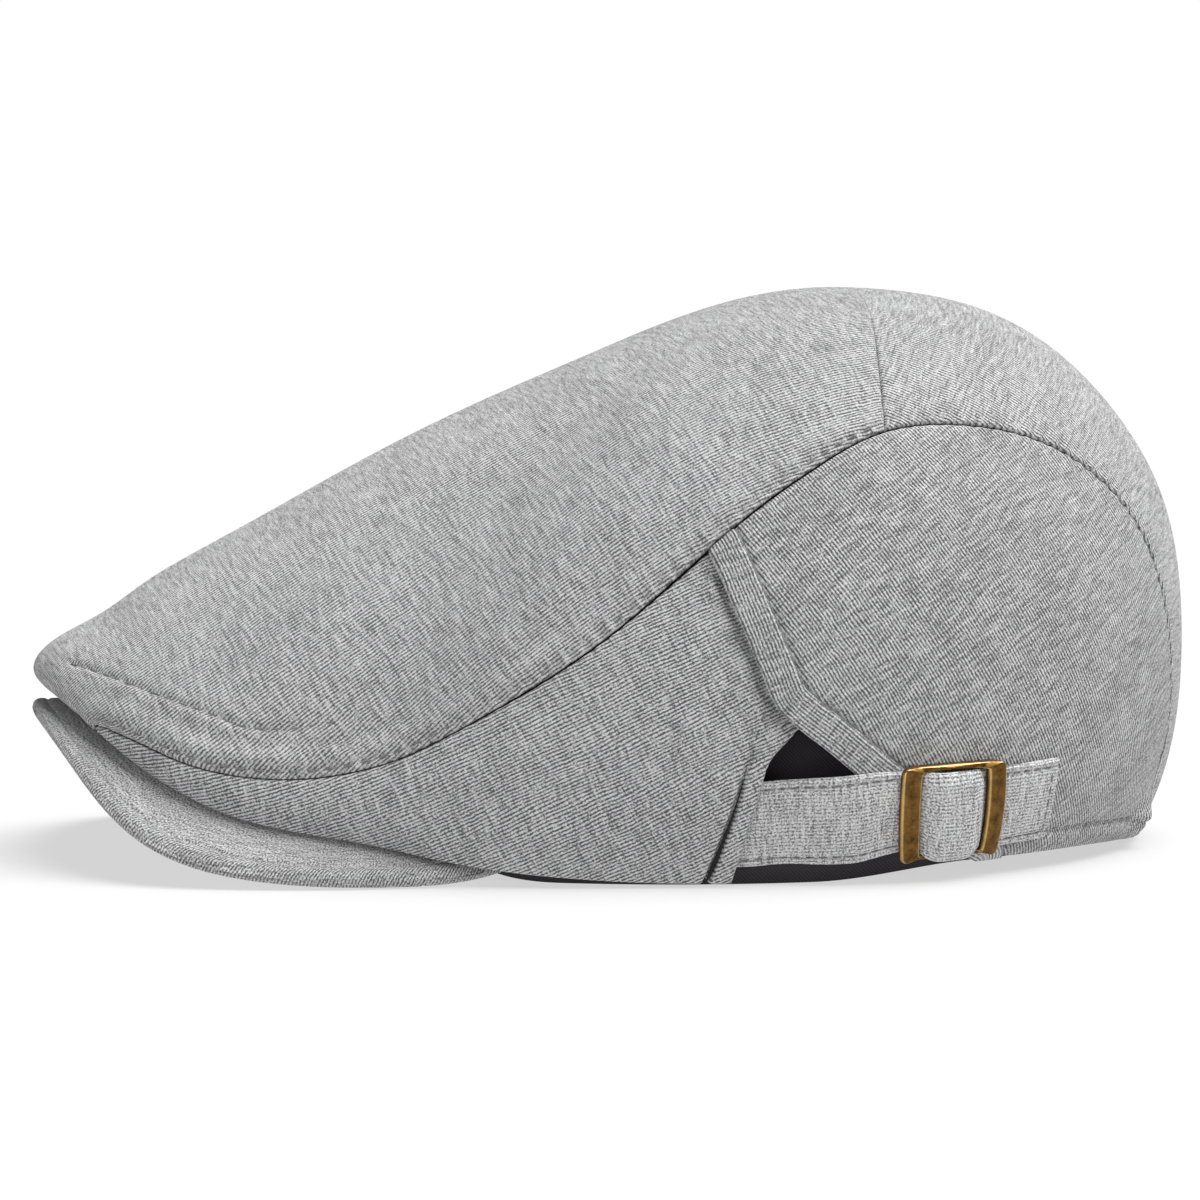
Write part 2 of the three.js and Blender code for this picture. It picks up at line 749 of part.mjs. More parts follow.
function add(name, geometry, material, side = 1) {
  const mesh = new THREE.Mesh(geometry, material);
  mesh.name = name;
  mesh.scale.y = side;
  cap.add(mesh);
}

// The pieces of one side are drawn on +Y, the wearer's right, and mirrored for the left.
function addPair(name, geometry, material) {
  add(name + "_right", geometry, material, 1);
  add(name + "_left", geometry, material, -1);
}

add("top_panel", topPanel(), jersey);
add("back_strip", backStrip(), jersey);
addPair("side_front", frontPanel(), jersey);
addPair("side_back", rearPanel(), jersey);
add("brim", brimGeometry(), brimCloth);
add("sweatband", bandGeometry(), bandCloth);
addPair("strap", strapGeometry(), strapCloth);
addPair("buckle", buckleGeometry(), brass);

const extent = new THREE.Box3().setFromObject(cap, true);
cap.position.set(-(extent.min.x + extent.max.x) / 2, 0, FLOOR - extent.min.z);

export default cap;
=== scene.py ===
import math

import bpy
import numpy as np
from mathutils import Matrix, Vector


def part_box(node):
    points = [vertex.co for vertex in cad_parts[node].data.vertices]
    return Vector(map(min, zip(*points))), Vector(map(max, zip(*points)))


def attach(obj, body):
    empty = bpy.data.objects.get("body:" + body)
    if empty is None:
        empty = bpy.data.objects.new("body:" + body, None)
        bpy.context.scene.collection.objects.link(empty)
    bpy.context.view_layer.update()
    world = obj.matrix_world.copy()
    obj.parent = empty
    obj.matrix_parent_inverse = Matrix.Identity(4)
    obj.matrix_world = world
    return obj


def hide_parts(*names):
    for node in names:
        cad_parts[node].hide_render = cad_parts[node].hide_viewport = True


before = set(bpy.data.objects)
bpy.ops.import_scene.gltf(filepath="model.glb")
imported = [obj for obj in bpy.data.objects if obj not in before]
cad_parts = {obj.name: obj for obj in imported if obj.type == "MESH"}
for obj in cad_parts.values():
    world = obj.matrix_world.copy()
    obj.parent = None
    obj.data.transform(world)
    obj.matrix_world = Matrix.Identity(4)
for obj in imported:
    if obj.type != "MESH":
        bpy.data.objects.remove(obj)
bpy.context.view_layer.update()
MM = 0.001

# Sizes of the part, as in its source

HEAD_LENGTH = 207.4
HEAD_WIDTH = 162.4
BAND_HEIGHT = 36.0
BAND_WALL = 1.5
BAND_BINDING = 2.8
BAND_BINDING_HEIGHT = 5.0
PANEL_WALL = 1.6
STRAP_THICKNESS = 1.8
LAYER_GAP = 0.3
LAP_GAP = 0.9
BAND_CLEARANCE = PANEL_WALL + STRAP_THICKNESS + LAP_GAP + LAYER_GAP
BRIM_LENGTH = 107.5
BRIM_WIDTH = 156.0
BRIM_THICKNESS = 4.0
BRIM_RISE = 32.6
BRIM_REACH = 58.8
BRIM_SHOW = 9.0
BRIM_REST_GAP = 0.5
BRIM_WIDEST = 0.753
BRIM_FULLNESS = 0.833
BRIM_TAIL_TAPER = 0.085
BRIM_TAIL_TURN = 120.0
ARCH_SHOULDER = 2.2
ARCH_FLARE = 1.4
CAP_HEIGHT = 135.0
PEAK_SET_BACK = 36.0
CROWN_BULGE = 10.0
HEM_WAVE = 3.5
STRAP_WIDTH = 19.6
STRAP_TAB = 17.0
BUCKLE_LENGTH = 25.8
BUCKLE_BAR = 4.6
BUCKLE_MIDDLE_BAR = 3.0
BUCKLE_RAIL = 1.4
BUCKLE_METAL = 1.5
STRAP_CROSSOVER = 10.3
STRAP_OVER_TURN = 99.0
STRAP_UNDER_TURN = 112.0
LAP_SHARE = 2 / 10

BRIM_TIP = -HEAD_LENGTH / 2 - BRIM_REACH
BRIM_WIDEST_X = BRIM_TIP + BRIM_WIDEST * BRIM_LENGTH
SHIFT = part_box("brim")[0].x - BRIM_TIP * MM

# Looks

RIB = 0.82
STITCH_PITCH = 4.1
STITCH_LENGTH = 2.9
THREAD = 0.24
JERSEY_WALL = 1.15
SEAM_ROLL = 1.25
HEM_ROLL = 0.57
FRONT_TIP_TURN = 168.8
FRONT_SINK = 1.35
LINING_GAP = 1.9
BAND = 8.0
SEAM_STITCH = 1.7
LAP_STITCH = 8.2
HEM_STITCH = 6.0
STITCH_PROUD = 0.12


def smooth(value, low, high):
    t = np.clip((value - low) / (high - low), 0.0, 1.0)
    return t * t * (3 - 2 * t)


def unit(vectors):
    return vectors / np.maximum(np.linalg.norm(vectors, axis=-1, keepdims=True), 1e-12)


# Brim and head outlines


def brim_edge(turn):
    size = np.abs(turn)
    near = np.radians(np.minimum(size, 90.0))
    tail = np.clip((size - 90.0) / (BRIM_TAIL_TURN - 90.0), 0.0, None)
    back = BRIM_WIDEST_X - BRIM_WIDEST * BRIM_LENGTH * np.cos(near) ** BRIM_FULLNESS
    back = back + (1 - BRIM_WIDEST) * BRIM_LENGTH * tail
    side = np.sign(turn) * BRIM_WIDTH / 2 * np.sin(near) * (1 - BRIM_TAIL_TAPER * tail**2)
    return np.stack([back, side], -1)


def brim_outward(turn):
    along = brim_edge(turn + 0.1) - brim_edge(turn - 0.1)
    return unit(np.stack([-along[..., 1], along[..., 0]], -1))


def brim_top(side):
    across = np.minimum(np.abs(side) / (BRIM_WIDTH / 2), 1.0)
    return BRIM_THICKNESS + BRIM_RISE * (1 - across**ARCH_SHOULDER) ** ARCH_FLARE


def head_point(turn, out=0.0):
    c = np.cos(np.radians(turn))
    s = np.sin(np.radians(turn))
    normal = unit(np.stack([c * HEAD_WIDTH, s * HEAD_LENGTH], -1))
    plan = np.stack([c * HEAD_LENGTH / 2, s * HEAD_WIDTH / 2], -1)
    return plan + normal * np.asarray(out)[..., None]


# Crown surface: rows from the hem to the peak, from the back to the nose
# Each row: seat, turn, step, lift, roll, up1, in2, up2, in3, up3, in4

CROWN_ROWS = [
    ("head", 0.0, 1.0, 0.14, 1.3, 0.163, -0.31, 0.489, -0.04, 0.881, 0.34),
    ("head", 36.0, 1.0, 1.0, 1.2, 0.163, -0.24, 0.474, -0.03, 0.874, 0.36),
    ("head", 67.5, 1.1, 0.86, 1.0, 0.148, -0.17, 0.444, 0.01, 0.852, 0.4),
    ("head", 94.0, 1.1, 0.14, 0.8, 0.133, -0.11, 0.415, 0.05, 0.822, 0.46),
    ("head", 121.0, 2.35, 0.91, 0.8, 0.133, -0.06, 0.356, 0.14, 0.741, 0.52),
    ("brim", 87.0, 0.93, 0.0, 1.1, 0.148, 0.0, 0.311, 0.21, 0.681, 0.58),
    ("brim", 64.4, 1.2, 0.0, 1.2, 0.193, 0.03, 0.319, 0.27, 0.644, 0.62),
    ("brim", 39.6, 1.07, 0.0, 1.4, 0.259, 0.03, 0.363, 0.32, 0.637, 0.66),
    ("brim", 18.8, 1.03, 0.0, 2.2, 0.326, 0.02, 0.4, 0.34, 0.644, 0.69),
    ("brim", 0.0, 0.95, 0.0, 2.6, 0.356, 0.01, 0.422, 0.35, 0.652, 0.7),
]


def row_sizes(row):
    seat, turn, step, lift, roll, up1, in2, up2, in3, up3, in4 = row
    turn = np.array(turn)
    if seat == "brim":
        plan = brim_edge(turn) - brim_outward(turn) * step * BRIM_SHOW
        foot = brim_top(plan[1]) + BRIM_REST_GAP
    else:
        plan = head_point(turn, step * BAND_CLEARANCE)
        foot = 0.0
    up1, up2, up3 = up1 * CAP_HEIGHT, up2 * CAP_HEIGHT, up3 * CAP_HEIGHT
    return [*plan, foot + lift * HEM_WAVE, roll * CROWN_BULGE, up1, in2, up2, in3, up3, in4]


half_ring = np.array([row_sizes(row) for row in CROWN_ROWS])
other_half = half_ring[-2:0:-1].copy()
other_half[:, 1] *= -1
RING = np.concatenate([half_ring, other_half])
HALF_STEPS = len(CROWN_ROWS) - 1
PEAK = np.array([PEAK_SET_BACK, 0.0, CAP_HEIGHT])

PULLS = RING.copy()
for _ in range(60):
    PULLS = (6 * RING - np.roll(PULLS, 1, 0) - np.roll(PULLS, -1, 0)) / 4


def row_at(place):
    start = np.floor(place).astype(int)
    f = (place - start)[..., None]
    weights = [(1 - f) ** 3, 3 * f**3 - 6 * f**2 + 4, -3 * f**3 + 3 * f**2 + 3 * f + 1, f**3]
    return sum(w / 6 * PULLS[(start + k - 1) % len(RING)] for k, w in enumerate(weights))


FINE_PLACES = np.linspace(0, HALF_STEPS, 721)
fine_rows = row_at(FINE_PLACES)
FINE_TURNS = np.abs(np.arctan2(fine_rows[:, 1], fine_rows[:, 0] - PEAK[0]))


def crown_point(disc):
    climb = (1 - np.hypot(disc[..., 0], disc[..., 1]))[..., None]
    turn = np.arctan2(disc[..., 1], disc[..., 0])
    row = row_at(np.sign(turn) * np.interp(np.abs(turn), FINE_TURNS, FINE_PLACES))
    plan, foot, roll, up1, in2, up2, in3, up3, in4 = np.split(row, np.arange(2, 10), axis=-1)
    run = PEAK[:2] - plan
    moves = [0, -unit(run) * roll, run * in2, run * in3, run * in4]
    ups = [foot, up1, up2, up3, np.full_like(climb, CAP_HEIGHT)]
    pulls = [np.concatenate([plan + move, up], -1) for move, up in zip(moves, ups)] + [PEAK]
    binomial = [1, 5, 10, 10, 5, 1]
    return sum(binomial[k] * climb**k * (1 - climb) ** (5 - k) * p for k, p in enumerate(pulls))


def crown_slopes(disc):
    step = 0.002
    back = np.array([step, 0.0])
    side = np.array([0.0, step])
    by_back = (crown_point(disc + back) - crown_point(disc - back)) / (2 * step)
    by_side = (crown_point(disc + side) - crown_point(disc - side)) / (2 * step)
    return by_back, by_side


def crown_normal(disc):
    by_back, by_side = crown_slopes(disc)
    return unit(np.cross(by_back, by_side))


def moved_over(disc, vector):
    """The places of the disc that lie a short way, in millimetres, from the given ones."""
    by_back, by_side = crown_slopes(disc)
    a = (by_back * by_back).sum(-1)
    b = (by_back * by_side).sum(-1)
    c = (by_side * by_side).sum(-1)
    p = (by_back * vector).sum(-1)
    q = (by_side * vector).sum(-1)
    scale = a * c - b * b
    return disc + np.stack([(c * p - b * q) / scale, (a * q - b * p) / scale], -1)


# Seams: places of the disc, back and side, on the wearer's right

MAIN_SEAM = [
    (-0.985, 0.172), (-0.9, 0.175), (-0.85, 0.215), (-0.812, 0.288), (-0.755, 0.347), (-0.68, 0.387),
    (-0.6, 0.415), (-0.47, 0.45), (-0.37, 0.457), (-0.268, 0.441), (-0.145, 0.414), (-0.026, 0.381),
    (0.12, 0.367), (0.29, 0.342), (0.45, 0.323), (0.597, 0.328), (0.72, 0.352), (0.81, 0.41), (0.872, 0.489),
]
LAP_ROW = 9
CROSS_ROW = 11
REAR_ROW = 14
CROSS_SEAM = [(-0.026, 0.381), (-0.018, 0.297), (-0.006, 0.16), (0.0, 0.0)]
LAP_EDGE = [
    (-0.268, 0.441), (-0.2675, 0.511), (-0.2635, 0.58), (-0.259, 0.638), (-0.255, 0.661), (-0.2494, 0.6747),
    (-0.2269, 0.7072), (-0.192, 0.7458), (-0.1455, 0.7935), (-0.0961, 0.8364), (-0.02, 0.895), (0.08, 0.945),
    (0.19, 0.9818),
]
FRONT_PANEL_END = [
    (-0.185, 0.5), (-0.17, 0.58), (-0.168, 0.64), (-0.19, 0.69), (-0.24, 0.712), (-0.285, 0.728),
    (-0.315, 0.757), (-0.37, 0.812), (-0.454, 0.891),
]
TACK_LINE = [
    (-0.8, 0.05), (-0.76, 0.114), (-0.719, 0.2), (-0.701, 0.242), (-0.696, 0.266), (-0.672, 0.292),
    (-0.641, 0.31), (-0.611, 0.33),
]
FRONT_END_STITCH = [
    (-0.23, 0.6), (-0.25, 0.645), (-0.278, 0.67), (-0.36, 0.752), (-0.43, 0.81), (-0.51, 0.868),
]


def through(points, per_step=40):
    """A smooth curve through the points, as close-set places."""
    p = np.array(points, float)
    last = len(p) - 1
    t = np.linspace(0, last, last * per_step + 1)
    i = np.minimum(t.astype(int), last - 1)
    f = (t - i)[:, None]
    p0, p1, p2, p3 = p[np.maximum(i - 1, 0)], p[i], p[i + 1], p[np.minimum(i + 2, last)]
    v0 = (p2 - p0) / 2
    v1 = (p3 - p1) / 2
    return (2 * p1 - 2 * p2 + v0 + v1) * f**3 + (-3 * p1 + 3 * p2 - 2 * v0 - v1) * f**2 + v0 * f + p1


def run_lengths(points):
    return np.concatenate([[0], np.cumsum(np.linalg.norm(np.diff(points, axis=0), axis=1))])


def part_way(line, first, share):
    """The index at a share of the way from one index of a line to its end, by length on the disc."""
    reach = run_lengths(line)
    return int(np.searchsorted(reach, reach[first] + share * (reach[-1] - reach[first])))


def other_side(places):
    return places * np.array([1.0, -1.0])


def on_right(points):
    """The points, or places of the disc, with those of the left side mirrored to the right."""
    out = points.copy()
    out[..., 1] = np.abs(out[..., 1])
    return out


PER_STEP = 40
seam = through(MAIN_SEAM, PER_STEP)
lap_at = LAP_ROW * PER_STEP
cross_at = CROSS_ROW * PER_STEP
rear_at = REAR_ROW * PER_STEP
tip_at = part_way(seam[: lap_at + 1], 0, 0.008)
under_at = part_way(seam[: cross_at + 1], lap_at, LAP_SHARE)
lap_line = through(LAP_EDGE, PER_STEP)
cross_line = through(CROSS_SEAM + [(b, -s) for b, s in CROSS_SEAM[-2::-1]], PER_STEP)
end_line = through([tuple(seam[under_at])] + FRONT_PANEL_END, PER_STEP)
tack_line = through(TACK_LINE, PER_STEP)
end_stitch_line = through(FRONT_END_STITCH, PER_STEP)
SEAM_FOOT = crown_point(seam[-1] * 0.945)


def hem_line(start, end, count=400):
    first = math.atan2(start[1], start[0])
    sweep = math.atan2(end[1], end[0]) - first
    if abs(sweep) > math.pi:
        sweep -= math.copysign(2 * math.pi, sweep)
    turns = first + sweep * np.linspace(0, 1, count)
    return np.stack([np.cos(turns), np.sin(turns)], -1)


def sampled(line, shares):
    """Places at shares of a disc line's real length over the crown."""
    reach = run_lengths(crown_point(line))
    want = shares * reach[-1]
    return np.stack([np.interp(want, reach, line[:, 0]), np.interp(want, reach, line[:, 1])], -1)


def even_line(line, step):
    reach = run_lengths(crown_point(line))[-1]
    return sampled(line, np.linspace(0, 1, max(2, int(round(reach / step)) + 1)))


# Points are compared with lines this many at a time, to save memory
CHUNK = 4000


class Edge:
    """A line over the crown that the cloth is shaped along."""

    def __init__(self, line, step=0.8):
        self.disc = even_line(line, step)
        self.points = crown_point(self.disc)
        self.reach = run_lengths(self.points)

    def near(self, points):
        """How far the points are from the line, and how far along it."""
        flat = points.reshape(-1, 3)
        a = self.points[:-1]
        run = self.points[1:] - a
        size = (run * run).sum(-1)
        least = np.full(len(flat), 1e9)
        where = np.zeros(len(flat))
        for first in range(0, len(flat), CHUNK):
            now = slice(first, first + CHUNK)
            part = flat[now]
            away = part[:, None, :] - a[None]
            t = np.clip((away * run).sum(-1) / size, 0, 1)
            gap = np.linalg.norm(away - run * t[..., None], axis=-1)
            k = gap.argmin(1)
            rows = np.arange(len(part))
            least[now] = gap[rows, k]
            where[now] = self.reach[k] + t[rows, k] * (self.reach[k + 1] - self.reach[k])
        return least.reshape(points.shape[:-1]), where.reshape(points.shape[:-1])


# Shapes that seams and stitches give the cloth, in millimetres out of the surface


def rolled(distance, radius):
    """How far a rolled edge falls away."""
    t = np.clip(1 - distance / radius, 0, 1)
    return -radius * (1 - np.sqrt(np.maximum(1 - t * t, 0)))


def wrapped(distance, radius):
    """The length over a rolled edge from its outermost line."""
    return radius * np.arccos(np.clip(1 - distance / radius, 0, 1)) + np.maximum(distance - radius, 0)


def swell(distance, size, width):
    return size * np.exp(-((distance / width) ** 2))


def groove(distance, depth, width):
    return -swell(distance, depth, width)


def puckers(distance, along, size, reach=3.5, pitch=STITCH_PITCH):
    wander = 1.3 * np.sin(along / 17.0) + 0.9 * np.sin(along / 7.3 + 1)
    strength = 0.65 + 0.35 * np.sin(along / 23.0 + 2)
    return size * strength * np.exp(-((distance / reach) ** 2)) * np.sin(2 * math.pi * along / pitch + wander)


def softness(points, size):
    """The slow unevenness of cloth."""
    x, y, z = points[..., 0], points[..., 1], points[..., 2]
    waves = np.sin(x / 17.0 + 0.7 * np.sin(z / 21.0)) * np.cos(y / 23.0 + 0.4)
    waves += 0.7 * np.sin((x + 1.4 * z) / 29.0 + 1.3) * np.cos((y - z) / 19.0)
    waves += 0.4 * np.sin((x - 0.6 * z) / 9.7 + 2.1) * np.cos(y / 11.0)
    return size * waves


def fullness(points):
    """The back a little fuller, the nose a little lower, and the thick end of the seam in the rear hem."""
    x, z = points[..., 0], points[..., 2]
    back = swell(x - 114, 1.5, 24) * swell(z - 84, 1.0, 24)
    nose = groove(x + 149, 2.2, 12) * swell(z - 64, 1.0, 14)
    gap = np.linalg.norm(on_right(points) - SEAM_FOOT, axis=-1)
    return back + nose + swell(gap, 3.0, 4.5)


# Meshes


def dress(name, points, faces, material, slot, node=None, uv=None, worn=None, mirror=False):
    """A piece from points in millimetres in the building frame, which stands for the node if one is named."""
    world = np.asarray(points, float).reshape(-1, 3) * MM
    if mirror:
        world[:, 1] *= -1
        faces = faces[:, ::-1]
    world[:, 0] += SHIFT
    mesh = bpy.data.meshes.new(name)
    mesh.vertices.add(len(world))
    mesh.vertices.foreach_set("co", world.ravel())
    mesh.loops.add(faces.size)
    mesh.loops.foreach_set("vertex_index", faces.ravel())
    mesh.polygons.add(len(faces))
    mesh.polygons.foreach_set("loop_start", np.arange(len(faces)) * faces.shape[1])
    mesh.polygons.foreach_set("use_smooth", np.ones(len(faces), bool))
    mesh.update(calc_edges=True)
    if uv is not None:
        mesh.uv_layers.new(name="grain").data.foreach_set("uv", uv[faces.ravel()].ravel())
    if worn is not None:
        mesh.attributes.new("worn", "FLOAT", "POINT").data.foreach_set("value", worn)
    mesh.validate()
    mesh.materials.append(material)
    piece = bpy.data.objects.new(name, mesh)
    bpy.context.scene.collection.objects.link(piece)
    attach(piece, "root")
    if node:
        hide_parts(node)


def dress_sides(name, points, faces, material, slot, node=None, **more):
    """The same piece on the wearer's right and, mirrored, on the left."""
    for side, mirror in (("right", False), ("left", True)):
        stood_for = f"{node}_{side}" if node else None
        dress(f"{name}_{side}", points, faces, material, slot, stood_for, mirror=mirror, **more)


def grid_faces(rows, columns, start=0, wrap=False, flip=False):
    index = start + np.arange(rows * columns).reshape(rows, columns)
    if wrap:
        index = np.concatenate([index, index[:1]], 0)
    quads = np.stack([index[:-1, :-1], index[1:, :-1], index[1:, 1:], index[:-1, 1:]], -1).reshape(-1, 4)
    return quads[:, ::-1] if flip else quads


def ring_faces(rows, columns):
    """Quads of a grid that is closed both ways."""
    index = np.arange(rows * columns).reshape(rows, columns)
    after = np.roll(index, -1, 0)
    return np.stack([index, np.roll(index, -1, 1), np.roll(after, -1, 1), after], -1).reshape(-1, 4)


def wall_faces(rows, columns):
    """Quads of a closed wall between an outer and an inner grid; the last ones are its edges."""
    count = rows * columns
    index = np.arange(count).reshape(rows, columns)
    loop = np.concatenate([index[:-1, 0], index[-1, :-1], index[:0:-1, -1], index[0, :0:-1]])
    after = np.roll(loop, -1)
    edge = np.stack([loop, loop + count, after + count, after], -1)
    return np.concatenate([grid_faces(rows, columns), grid_faces(rows, columns, count, flip=True), edge])


def outward(points, faces):
    """The faces turned to look out of the solid that they close."""
    corners = [points.reshape(-1, 3)[faces[:, k]] for k in range(faces.shape[1])]
    volume = (corners[0] * np.cross(corners[1], corners[2])).sum()
    if len(corners) == 4:
        volume += (corners[0] * np.cross(corners[2], corners[3])).sum()
    return faces[:, ::-1] if volume < 0 else faces


def flat_pattern(grid, passes=25):
    """Lays a curved grid of points flat, with its lengths kept as well as they can be."""
    rows, columns = grid.shape[:2]
    index = np.arange(rows * columns).reshape(rows, columns)
    a, b, c, d = (part.ravel() for part in (index[:-1, :-1], index[1:, :-1], index[1:, 1:], index[:-1, 1:]))
    tris = np.concatenate([np.stack([a, b, c], -1), np.stack([a, c, d], -1)])
    p = grid.reshape(-1, 3)
    one = p[tris[:, 1]] - p[tris[:, 0]]
    two = p[tris[:, 2]] - p[tris[:, 0]]
    base = np.maximum(np.linalg.norm(one, axis=1), 1e-6)
    corner = np.zeros((len(tris), 3, 2))
    corner[:, 1, 0] = base
    corner[:, 2, 0] = (one * two).sum(1) / base
    corner[:, 2, 1] = np.linalg.norm(np.cross(one, two), axis=1) / base
    matrix = np.zeros((len(p), len(p)))
    edges = []
    for k in range(3):
        i, j = tris[:, k], tris[:, (k + 1) % 3]
        u = corner[:, k] - corner[:, (k + 2) % 3]
        v = corner[:, (k + 1) % 3] - corner[:, (k + 2) % 3]
        cross = np.maximum(np.abs(u[:, 0] * v[:, 1] - u[:, 1] * v[:, 0]), 1e-9)
        weight = np.clip((u * v).sum(1) / cross, 0.05, 10)
        for row, column, sign in ((i, i, 1), (j, j, 1), (i, j, -1), (j, i, -1)):
            np.add.at(matrix, (row, column), sign * weight)
        edges.append((i, j, weight, corner[:, (k + 1) % 3] - corner[:, k]))
    matrix[0, :] = 0
    matrix[0, 0] = 1
    solve = np.linalg.inv(matrix)
    middle = columns // 2
    flat = np.zeros((rows, columns, 2))
    flat[..., 0] = run_lengths(grid[:, middle])[:, None]
    steps = np.linalg.norm(np.diff(grid, axis=1), axis=2)
    rises = np.concatenate([np.zeros((rows, 1)), np.cumsum(steps, 1)], 1)
    flat[..., 1] = rises - rises[:, middle : middle + 1]
    flat = flat.reshape(-1, 2)
    for _ in range(passes):
        dot = np.zeros(len(tris))
        cross = np.zeros(len(tris))
        for i, j, weight, run in edges:
            now = flat[j] - flat[i]
            dot += weight * (run * now).sum(1)
            cross += weight * (run[:, 0] * now[:, 1] - run[:, 1] * now[:, 0])
        turn = np.arctan2(cross, dot)
        c, s = np.cos(turn), np.sin(turn)
        target = np.zeros((len(p), 2))
        for i, j, weight, run in edges:
            turned = np.stack([c * run[:, 0] - s * run[:, 1], s * run[:, 0] + c * run[:, 1]], -1)
            turned *= weight[:, None]
            np.add.at(target, j, turned)
            np.add.at(target, i, -turned)
        target[0] = 0
        flat = solve @ target
    return flat.reshape(rows, columns, 2)


def spacing(length, near, far, reach):
    """Shares of a length in steps that grow from near at both ends to far in the middle."""
    places = [0.0]
    while places[-1] < length / 2:
        past = max(places[-1] - reach, 0.0)
        places.append(places[-1] + min(far, near + 0.12 * past))
    half = np.array(places) / places[-1] / 2
    return np.concatenate([half, 1 - half[-2::-1]])


def fill(low, high, left, right, a, b):
    """Places inside four sides. a runs from left to right, b from low to high."""
    shares = np.linspace(0, 1, 600)

    def side(line, at):
        s = sampled(line, shares)
        return np.stack([np.interp(at, shares, s[:, 0]), np.interp(at, shares, s[:, 1])], -1)

    a3, b3 = a[..., None], b[..., None]
    inside = side(low, a) * (1 - b3) + side(high, a) * b3 + side(left, b) * (1 - a3) + side(right, b) * a3
    inside -= low[0] * (1 - a3) * (1 - b3) + low[-1] * a3 * (1 - b3)
    return inside - high[0] * (1 - a3) * b3 - high[-1] * a3 * b3


def panel_grid(low, high, left, right, a_steps, b_steps, gaps=(0.2, 0.36, 0.16, 0.36)):
    """Places of a panel, drawn in by the gaps at its low, high, left and right sides."""
    a, b = np.meshgrid(a_steps, b_steps, indexing="ij")
    first = crown_point(fill(low, high, left, right, a, b))
    across = np.linalg.norm(np.diff(first, axis=0), axis=2).sum(0)[None, :]
    up = np.linalg.norm(np.diff(first, axis=1), axis=2).sum(1)[:, None]
    in_low, in_high = (np.minimum(gap / np.maximum(up, 1e-6), 0.2) for gap in gaps[:2])
    in_left, in_right = (np.minimum(gap / np.maximum(across, 1e-6), 0.2) for gap in gaps[2:])
    a = in_left + a * (1 - in_left - in_right)
    return fill(low, high, left, right, a, in_low + b * (1 - in_low - in_high))


def grain_uv(disc, turn):
    """Flat coordinates in millimetres for a grid of places: across the ribs, and along them."""
    rows, columns = disc.shape[:2]
    i = np.unique(np.linspace(0, rows - 1, 40).round().astype(int))
    j = np.unique(np.linspace(0, columns - 1, 20).round().astype(int))
    flat = flat_pattern(crown_point(disc[np.ix_(i, j)]))
    middle = flat[len(i) // 2 + 1, len(j) // 2] - flat[len(i) // 2 - 1, len(j) // 2]
    angle = math.atan2(middle[1], middle[0]) + math.radians(turn)
    c, s = math.cos(angle), math.sin(angle)
    out = np.zeros((rows, columns, 2))
    for k, values in enumerate((c * flat[..., 1] - s * flat[..., 0], c * flat[..., 0] + s * flat[..., 1])):
        wide = np.array([np.interp(np.arange(columns), j, line) for line in values])
        out[..., k] = np.array([np.interp(np.arange(rows), i, line) for line in wide.T]).T
    return out


def hemmed_wall(disc, lift, edge_distance):
    """Outer and inner layers of a panel, rolled off at its free edges, and thicker at the lap's corner."""
    points = crown_point(disc)
    normals = crown_normal(disc)
    corner_gap = np.linalg.norm(on_right(points) - crown_point(lap_line[0]), axis=-1)
    wall = JERSEY_WALL + swell(corner_gap, 1.7, 14)
    fold = rolled(edge_distance, HEM_ROLL)
    outer = points + normals * (lift + fold)[..., None]
    inner = points + normals * (lift - wall - fold)[..., None]
    return np.concatenate([outer.reshape(-1, 3), inner.reshape(-1, 3)])


# Materials


class Nodes:
    """Short ways to add the nodes of a tree."""

    def __init__(self, tree):
        self.tree = tree

    def link(self, value, socket):
        """Links an output to the socket, or sets the socket to a number or colour."""
        if isinstance(value, bpy.types.NodeSocket):
            self.tree.links.new(value, socket)
        else:
            socket.default_value = value

    def add(self, kind, inputs=(), **settings):
        node = self.tree.nodes.new(kind)
        for key, value in settings.items():
            setattr(node, key, value)
        for key, value in dict(inputs).items():
            self.link(value, node.inputs[key])
        return node

    def math(self, operation, a, b=0.0, c=0.0, clamp=False):
        return self.add("ShaderNodeMath", {0: a, 1: b, 2: c}, operation=operation, use_clamp=clamp).outputs[0]

    def swing(self, base, noise, size, clamp=False):
        """The base value, with a noise of the given size about its middle."""
        return self.math("ADD", base, self.math("MULTIPLY_ADD", noise, size, -size / 2), clamp=clamp)

    def wave(self, value, pitch):
        """A wave from 0 to 1."""
        phase = self.math("MULTIPLY", value, 2 * math.pi / pitch)
        return self.math("MULTIPLY_ADD", self.math("SINE", phase), 0.5, 0.5)

    def noise(self, vector, scale, detail=2.0, roughness=0.5):
        inputs = {"Vector": vector, "Scale": scale, "Detail": detail, "Roughness": roughness}
        return self.add("ShaderNodeTexNoise", inputs).outputs[0]

    def mix(self, share, dark, light):
        inputs = {0: share, 6: dark, 7: light}
        inputs = {k: (*value, 1.0) if isinstance(value, tuple) else value for k, value in inputs.items()}
        return self.add("ShaderNodeMix", inputs, data_type="RGBA").outputs[2]


